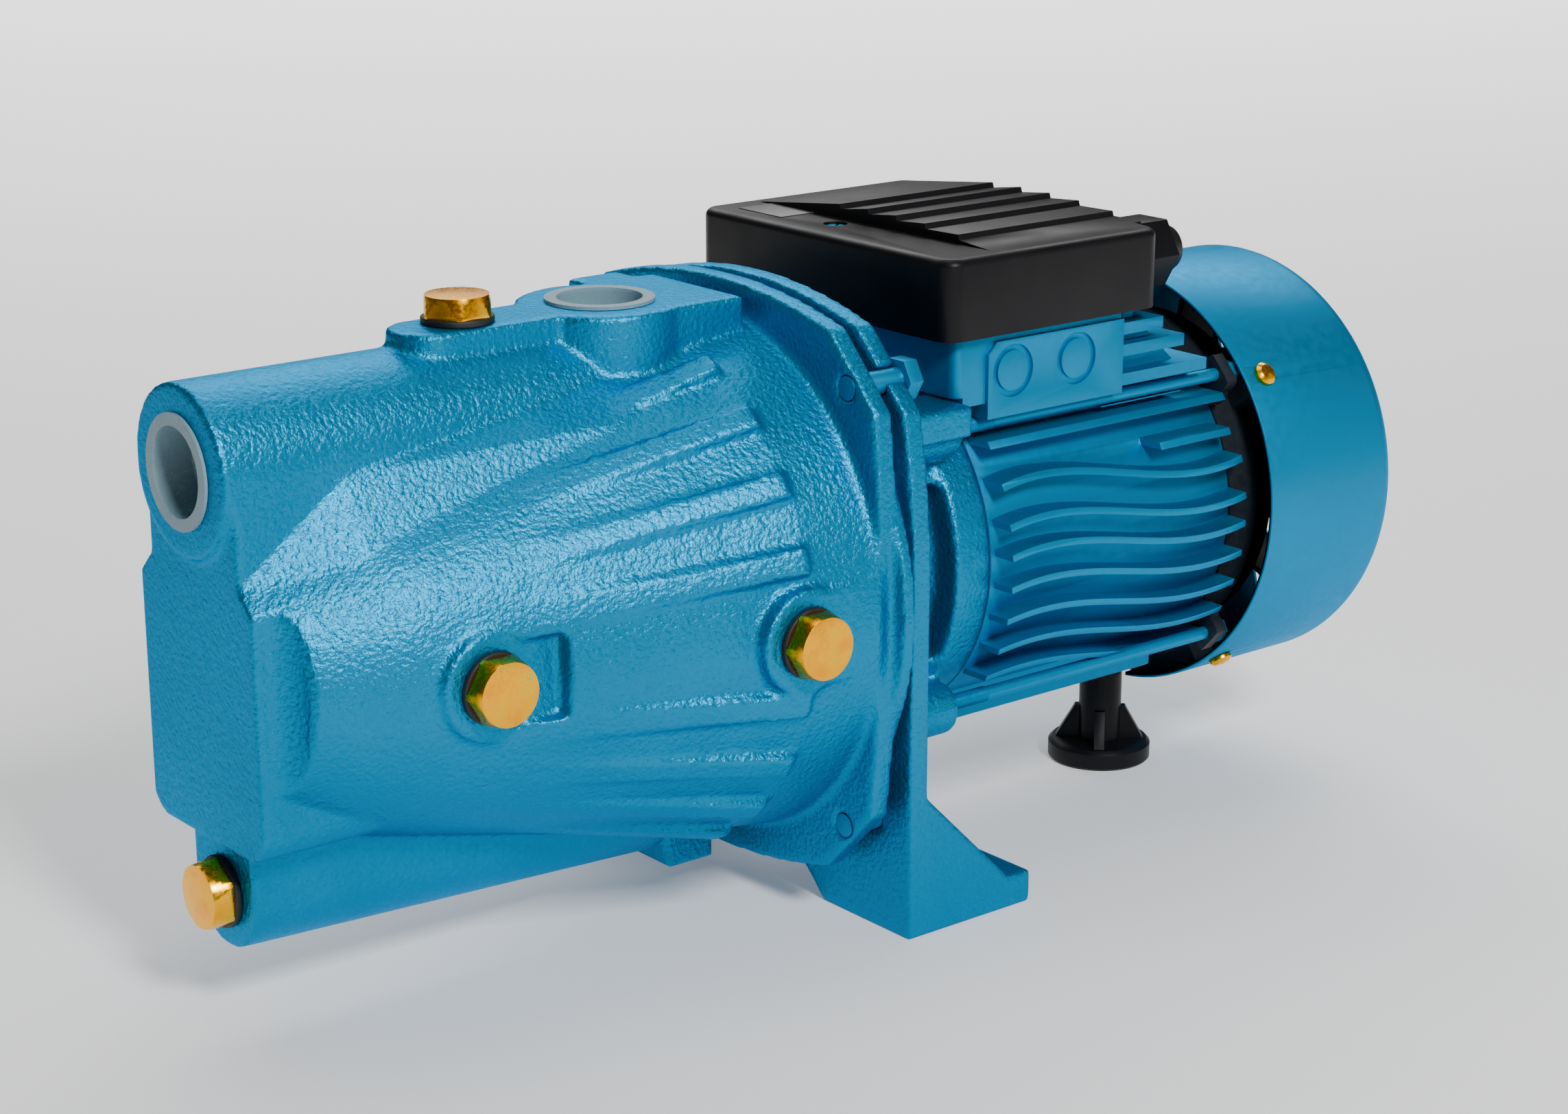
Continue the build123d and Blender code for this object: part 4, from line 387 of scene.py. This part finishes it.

# the material of each CAD slot; the bolts and tie rods are painted over with the castings, and the
# rear end shield gets painted shade, a near-black standing in for its shadow inside the fan cover
SLOT_MATERIALS = {
    "cast_iron_paint": CAST_PAINT,
    "motor_paint": SMOOTH_PAINT,
    "cover_paint": COVER_PAINT,
    "black_plastic": BLACK,
    "cap_plastic": CAP,
    "yellow_zinc": ZINC,
    "black_rubber": RUBBER,
    "bolt_steel": SMOOTH_PAINT,
    "shaft_steel": SHAFT_STEEL,
    "lamination_steel": LAMINATIONS,
    "copper_winding": COPPER,
    "pump_plastic": PUMP_PLASTIC,
    "brass": BRASS,
    "ceramic": CERAMIC,
    "carbon": CARBON,
    "bearing_steel": SHAFT_STEEL,
    "capacitor_case": ALUMINIUM,
    "terminal_plastic": TERMINAL_PLASTIC,
    "end_shield_metal": SHADOW_PAINT,
}
NODE_SLOTS = {part["node"]: part["material_slot"] for part in frame["record"]["subparts"]}
NODE_BODIES = {
    node: body for body, members in frame["record"]["behaviour"]["bodies"].items() for node in members
}


def paint(piece, material):
    """One material on the whole piece."""
    piece.data.materials.clear()
    piece.data.materials.append(material)


for node_name, node in frame["nodes"].items():
    paint(node, SLOT_MATERIALS[NODE_SLOTS[node_name]])


# ---------------------------------------------------------------- piece helpers
def add_piece(name, mesh, body, slot, material=None):
    """A finished mesh as a piece that rides on a body and has a slot's finish."""
    piece = bpy.data.objects.new(name, mesh)
    bpy.context.scene.collection.objects.link(piece)
    paint(piece, material or SLOT_MATERIALS[slot])
    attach(piece, body)
    return piece


def stand_in(name, node_name, mesh):
    """A piece that replaces one CAD node, on its body and with its slot."""
    piece = add_piece(name, mesh, NODE_BODIES[node_name], NODE_SLOTS[node_name])
    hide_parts(node_name)
    return piece


def apply_modifiers(piece):
    """Bakes the piece's modifiers into its mesh."""
    depsgraph = bpy.context.evaluated_depsgraph_get()
    mesh = bpy.data.meshes.new_from_object(piece.evaluated_get(depsgraph))
    materials = list(piece.data.materials)
    piece.modifiers.clear()
    piece.data = mesh
    mesh.materials.clear()
    for material in materials:
        mesh.materials.append(material)


def smooth_by_angle(mesh, degrees):
    """Smooth shading, with edges sharper than that left crisp."""
    mesh.shade_smooth()
    bm = bmesh.new()
    bm.from_mesh(mesh)
    limit = math.radians(degrees)
    for edge in bm.edges:
        edge.smooth = len(edge.link_faces) == 2 and edge.calc_face_angle(0.0) < limit
    bm.to_mesh(mesh)
    bm.free()


def cad_copy(node_name):
    """The CAD node's mesh, welded, as a new mesh."""
    mesh = frame["nodes"][node_name].data.copy()
    bm = bmesh.new()
    bm.from_mesh(mesh)
    bmesh.ops.remove_doubles(bm, verts=bm.verts, dist=1e-6)
    bm.to_mesh(mesh)
    bm.free()
    return mesh


def casting(node_name, voxel, passes, faces, backing=()):
    """A CAD node remeshed and relaxed, so that its edges and inner corners get cast fillets.

    The backing meshes thicken walls that are thinner than a voxel, which would otherwise open.
    Above that count of triangles the mesh is thinned.
    """
    mesh = cad_copy(node_name)
    bm = bmesh.new()
    bm.from_mesh(mesh)
    for extra in backing:
        bm.from_mesh(extra)
    bm.to_mesh(mesh)
    bm.free()
    piece = stand_in(node_name + "_casting", node_name, mesh)
    remesh = piece.modifiers.new("remesh", "REMESH")
    remesh.mode = "VOXEL"
    remesh.voxel_size = voxel
    relax = piece.modifiers.new("relax", "SMOOTH")
    relax.factor = 0.5
    relax.iterations = passes
    apply_modifiers(piece)
    count = sum(len(polygon.vertices) - 2 for polygon in piece.data.polygons)
    if count > faces:
        thin = piece.modifiers.new("thin", "DECIMATE")
        thin.ratio = faces / count
        apply_modifiers(piece)
    piece.data.shade_smooth()


def bevelled(node_name, width, segments=3, angle=30):
    """A CAD node with its edges broken by a small rounded bevel."""
    piece = stand_in(node_name + "_finished", node_name, cad_copy(node_name))
    bevel = piece.modifiers.new("bevel", "BEVEL")
    bevel.width = width
    bevel.segments = segments
    bevel.limit_method = "ANGLE"
    bevel.angle_limit = math.radians(angle)
    apply_modifiers(piece)
    smooth_by_angle(piece.data, CRISP_ANGLE)


def lathe(profile, origin, axis, segments=96):
    """A closed profile of (radius, height) points turned round an axis through origin."""
    turn = Vector((0, 0, 1)).rotation_difference(Vector(axis)).to_matrix().to_4x4()
    place = Matrix.Translation(Vector(origin)) @ turn
    bm = bmesh.new()
    rings = []
    for step in range(segments):
        angle = 2 * math.pi * step / segments
        ring = []
        for radius, height in profile:
            point = Vector((radius * math.cos(angle), radius * math.sin(angle), height))
            ring.append(bm.verts.new(place @ point))
        rings.append(ring)
    for step in range(segments):
        here = rings[step]
        after = rings[(step + 1) % segments]
        for index in range(len(profile)):
            follow = (index + 1) % len(profile)
            bm.faces.new((here[index], after[index], after[follow], here[follow]))
    bmesh.ops.remove_doubles(bm, verts=bm.verts, dist=1e-7)
    bmesh.ops.dissolve_degenerate(bm, dist=1e-7, edges=bm.edges)
    bmesh.ops.recalc_face_normals(bm, faces=bm.faces)
    mesh = bpy.data.meshes.new("lathe")
    bm.to_mesh(mesh)
    bm.free()
    smooth_by_angle(mesh, CRISP_ANGLE)
    return mesh


def box_mesh(low, high, softening=0.0):
    """A closed box, with its edges bevelled by that share of its thickness."""
    bm = bmesh.new()
    bmesh.ops.create_cube(bm, size=1.0)
    middle = (Vector(low) + Vector(high)) / 2
    size = Vector(high) - Vector(low)
    for vert in bm.verts:
        vert.co = Vector(middle[axis] + vert.co[axis] * size[axis] for axis in range(3))
    if softening:
        offset = min(size) * softening
        bmesh.ops.bevel(bm, geom=bm.edges, offset=offset, segments=2, affect="EDGES", profile=0.5)
    mesh = bpy.data.meshes.new("box")
    bm.to_mesh(mesh)
    bm.free()
    return mesh


# ---------------------------------------------------------------- castings
# the front wall of the return tube, round the drain plug's hole
TUBE_FRONT = [
    lathe(
        [
            (DRAIN_HOLE_R, 0),
            (DRAIN_HOLE_R, TUBE_FRONT_T),
            (TUBE_FRONT_R, TUBE_FRONT_T),
            (TUBE_FRONT_R, 0),
        ],
        (TUBE_FRONT_X, 0, DRAIN_Z),
        (1, 0, 0),
    ),
    box_mesh(
        (TUBE_FRONT_X, -POCKET_HALF, POCKET_LOW_Z),
        (TUBE_FRONT_X + TUBE_FRONT_T, POCKET_HALF, POCKET_HIGH_Z),
    ),
]
casting("pump_casing", 1.3 * MM, 4, 190000, TUBE_FRONT)
casting("motor_bracket", 1.4 * MM, 5, 150000)
bevelled("motor_frame", 0.5 * MM, 2, 25)


# ---------------------------------------------------------------- port caps
def port_cap(name, node_name, origin, axis):
    """A thin transport cap: a flat lip on the port's face and a shallow cup inside the bore."""
    foot_r = CAP_CUP_R - CAP_DRAFT
    outline = [
        (CAP_LIP_R, CAP_LIP_LOW),
        (CAP_LIP_R, CAP_LIP_TOP),
        (CAP_CUP_R, CAP_LIP_TOP),
        (foot_r, -CAP_DEPTH + CAP_CORNER),
        (foot_r - CAP_CORNER, -CAP_DEPTH),
        (0.0, -CAP_DEPTH),
        (0.0, -CAP_DEPTH - CAP_WALL),
        (CAP_CUP_R - CAP_FOOT_INSET, -CAP_DEPTH - CAP_WALL),
        (CAP_CUP_R + CAP_FLARE, -CAP_DEPTH + CAP_CORNER),
        (CAP_CUP_R + CAP_WALL, CAP_LIP_LOW),
    ]
    stand_in(name, node_name, lathe(outline, origin, axis))


suction_low, suction_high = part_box("suction_port_cap")
suction_middle = (suction_low + suction_high) / 2
suction_seat = (suction_high.x, suction_middle.y, suction_middle.z)
port_cap("suction_cap_cup", "suction_port_cap", suction_seat, (-1, 0, 0))

discharge_low, discharge_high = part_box("discharge_port_cap")
discharge_middle = (discharge_low + discharge_high) / 2
discharge_seat = (discharge_middle.x, discharge_middle.y, discharge_low.z)
port_cap("discharge_cap_cup", "discharge_port_cap", discharge_seat, (0, 0, 1))


# ---------------------------------------------------------------- pieces with broken edges
for plug_node in ("priming_plug", "drain_plug", "side_plugs"):
    bevelled(plug_node, 0.4 * MM)
for gasket_node in ("priming_gasket", "drain_gasket", "side_plug_gaskets"):
    bevelled(gasket_node, 0.7 * MM, 4)
SMALL_NODES = (
    "casing_bolts",
    "gland_body",
    "gland_nut",
    "fan_cover_screws",
    "rear_support_foot",
    "tie_rods",
)
for small_node in SMALL_NODES:
    bevelled(small_node, 0.4 * MM)
bevelled("terminal_cover", 1.2 * MM)
bevelled("fan_cover", 0.4 * MM, 2)


# ---------------------------------------------------------------- small parts without a CAD node
def thread_sleeve(name, y, z):
    """The thread of a tie rod where it enters its lug."""
    outline = []
    for turn in range(THREAD_TURNS):
        outline.append((TIE_ROD_R, turn * THREAD_PITCH))
        outline.append((TIE_ROD_R + THREAD_CREST, (turn + 0.5) * THREAD_PITCH))
    outline.append((TIE_ROD_R, THREAD_TURNS * THREAD_PITCH))
    outline.append((TIE_ROD_R - THREAD_ROOT, THREAD_TURNS * THREAD_PITCH))
    outline.append((TIE_ROD_R - THREAD_ROOT, 0.0))
    sleeve = lathe(outline, (TIE_THREAD_X, y, z), (1, 0, 0), 24)
    add_piece(name, sleeve, "pump_body", "bolt_steel")


TIE_CORNERS = (
    ("near_upper", -1, 1),
    ("near_lower", -1, -1),
    ("far_upper", 1, 1),
    ("far_lower", 1, -1),
)
for corner, side_y, side_z in TIE_CORNERS:
    thread_sleeve("tie_rod_thread_" + corner, side_y * TIE_Y, SHAFT_Z + side_z * TIE_Z)

panel_mesh = box_mesh(PANEL_LOW, PANEL_HIGH, PANEL_SOFTENING)
smooth_by_angle(panel_mesh, CRISP_ANGLE)
add_piece("label_panel", panel_mesh, "pump_body", "black_plastic", PANEL)


# ---------------------------------------------------------------- studio
# camera: place in metres, angles in degrees, lens and sensor in millimetres
CAMERA_PLACE = (-0.67038, -0.80169, 0.41477)
CAMERA_AZIMUTH = 39.02
CAMERA_ELEVATION = 16.43
CAMERA_LENS = 70.24
CAMERA_SENSOR = 36
FLOOR_SIZE = 12
# the lights aimed at the pump: name, place, size in metres, energy in watts
PUMP_LIGHTS = (
    ("key", (-0.35, -1.5, 1.3), 0.4, 33),
    ("top", (0.0, 0.1, 1.7), 0.8, 5),
    ("fill", (1.3, -1.2, 0.5), 1.0, 2),
    ("rim", (0.7, 1.5, 1.0), 1.0, 3),
)
# the light aimed at the floor behind the pump
BACKDROP_PLACE = (2.4, 3.2, 3.4)
BACKDROP_TARGET = (3.4, 4.5, 0)
BACKDROP_SIZE = 5.0
BACKDROP_ENERGY = 480
WORLD_COLOUR = (0.95, 0.97, 1.0, 1)
WORLD_STRENGTH = 0.09


def area_light(name, place, target, size, energy):
    """A square soft light aimed at a point."""
    data = bpy.data.lights.new(name, "AREA")
    data.size = size
    data.energy = energy
    light = bpy.data.objects.new(name, data)
    light.location = place
    light.rotation_euler = (Vector(target) - Vector(place)).to_track_quat("-Z", "Y").to_euler()
    bpy.context.scene.collection.objects.link(light)


def studio():
    """Floor, lights and world."""
    bpy.ops.mesh.primitive_plane_add(size=FLOOR_SIZE, location=(0, 0, 0))
    floor = bpy.context.object
    floor.name = "studio_floor"
    floor.data.materials.append(floor_material())
    middle = (cad_low + cad_high) / 2
    for name, place, size, energy in PUMP_LIGHTS:
        area_light(name, place, middle, size, energy)
    area_light("backdrop", BACKDROP_PLACE, BACKDROP_TARGET, BACKDROP_SIZE, BACKDROP_ENERGY)
    world = bpy.data.worlds.new("studio_world")
    bpy.context.scene.world = world
    world.use_nodes = True
    background = world.node_tree.nodes["Background"]
    background.inputs["Color"].default_value = WORLD_COLOUR
    background.inputs["Strength"].default_value = WORLD_STRENGTH


def camera():
    """The photograph's viewpoint: a little above and in front of the suction end, on the -Y side."""
    azimuth = math.radians(CAMERA_AZIMUTH)
    elevation = math.radians(CAMERA_ELEVATION)
    data = bpy.data.cameras.new("camera")
    data.sensor_width = CAMERA_SENSOR
    data.lens = CAMERA_LENS
    view = bpy.data.objects.new("camera", data)
    view.location = CAMERA_PLACE
    level = math.cos(elevation)
    forward = Vector((math.sin(azimuth) * level, math.cos(azimuth) * level, -math.sin(elevation)))
    view.rotation_euler = forward.to_track_quat("-Z", "Y").to_euler()
    bpy.context.scene.collection.objects.link(view)
    bpy.context.scene.camera = view


studio()
camera()
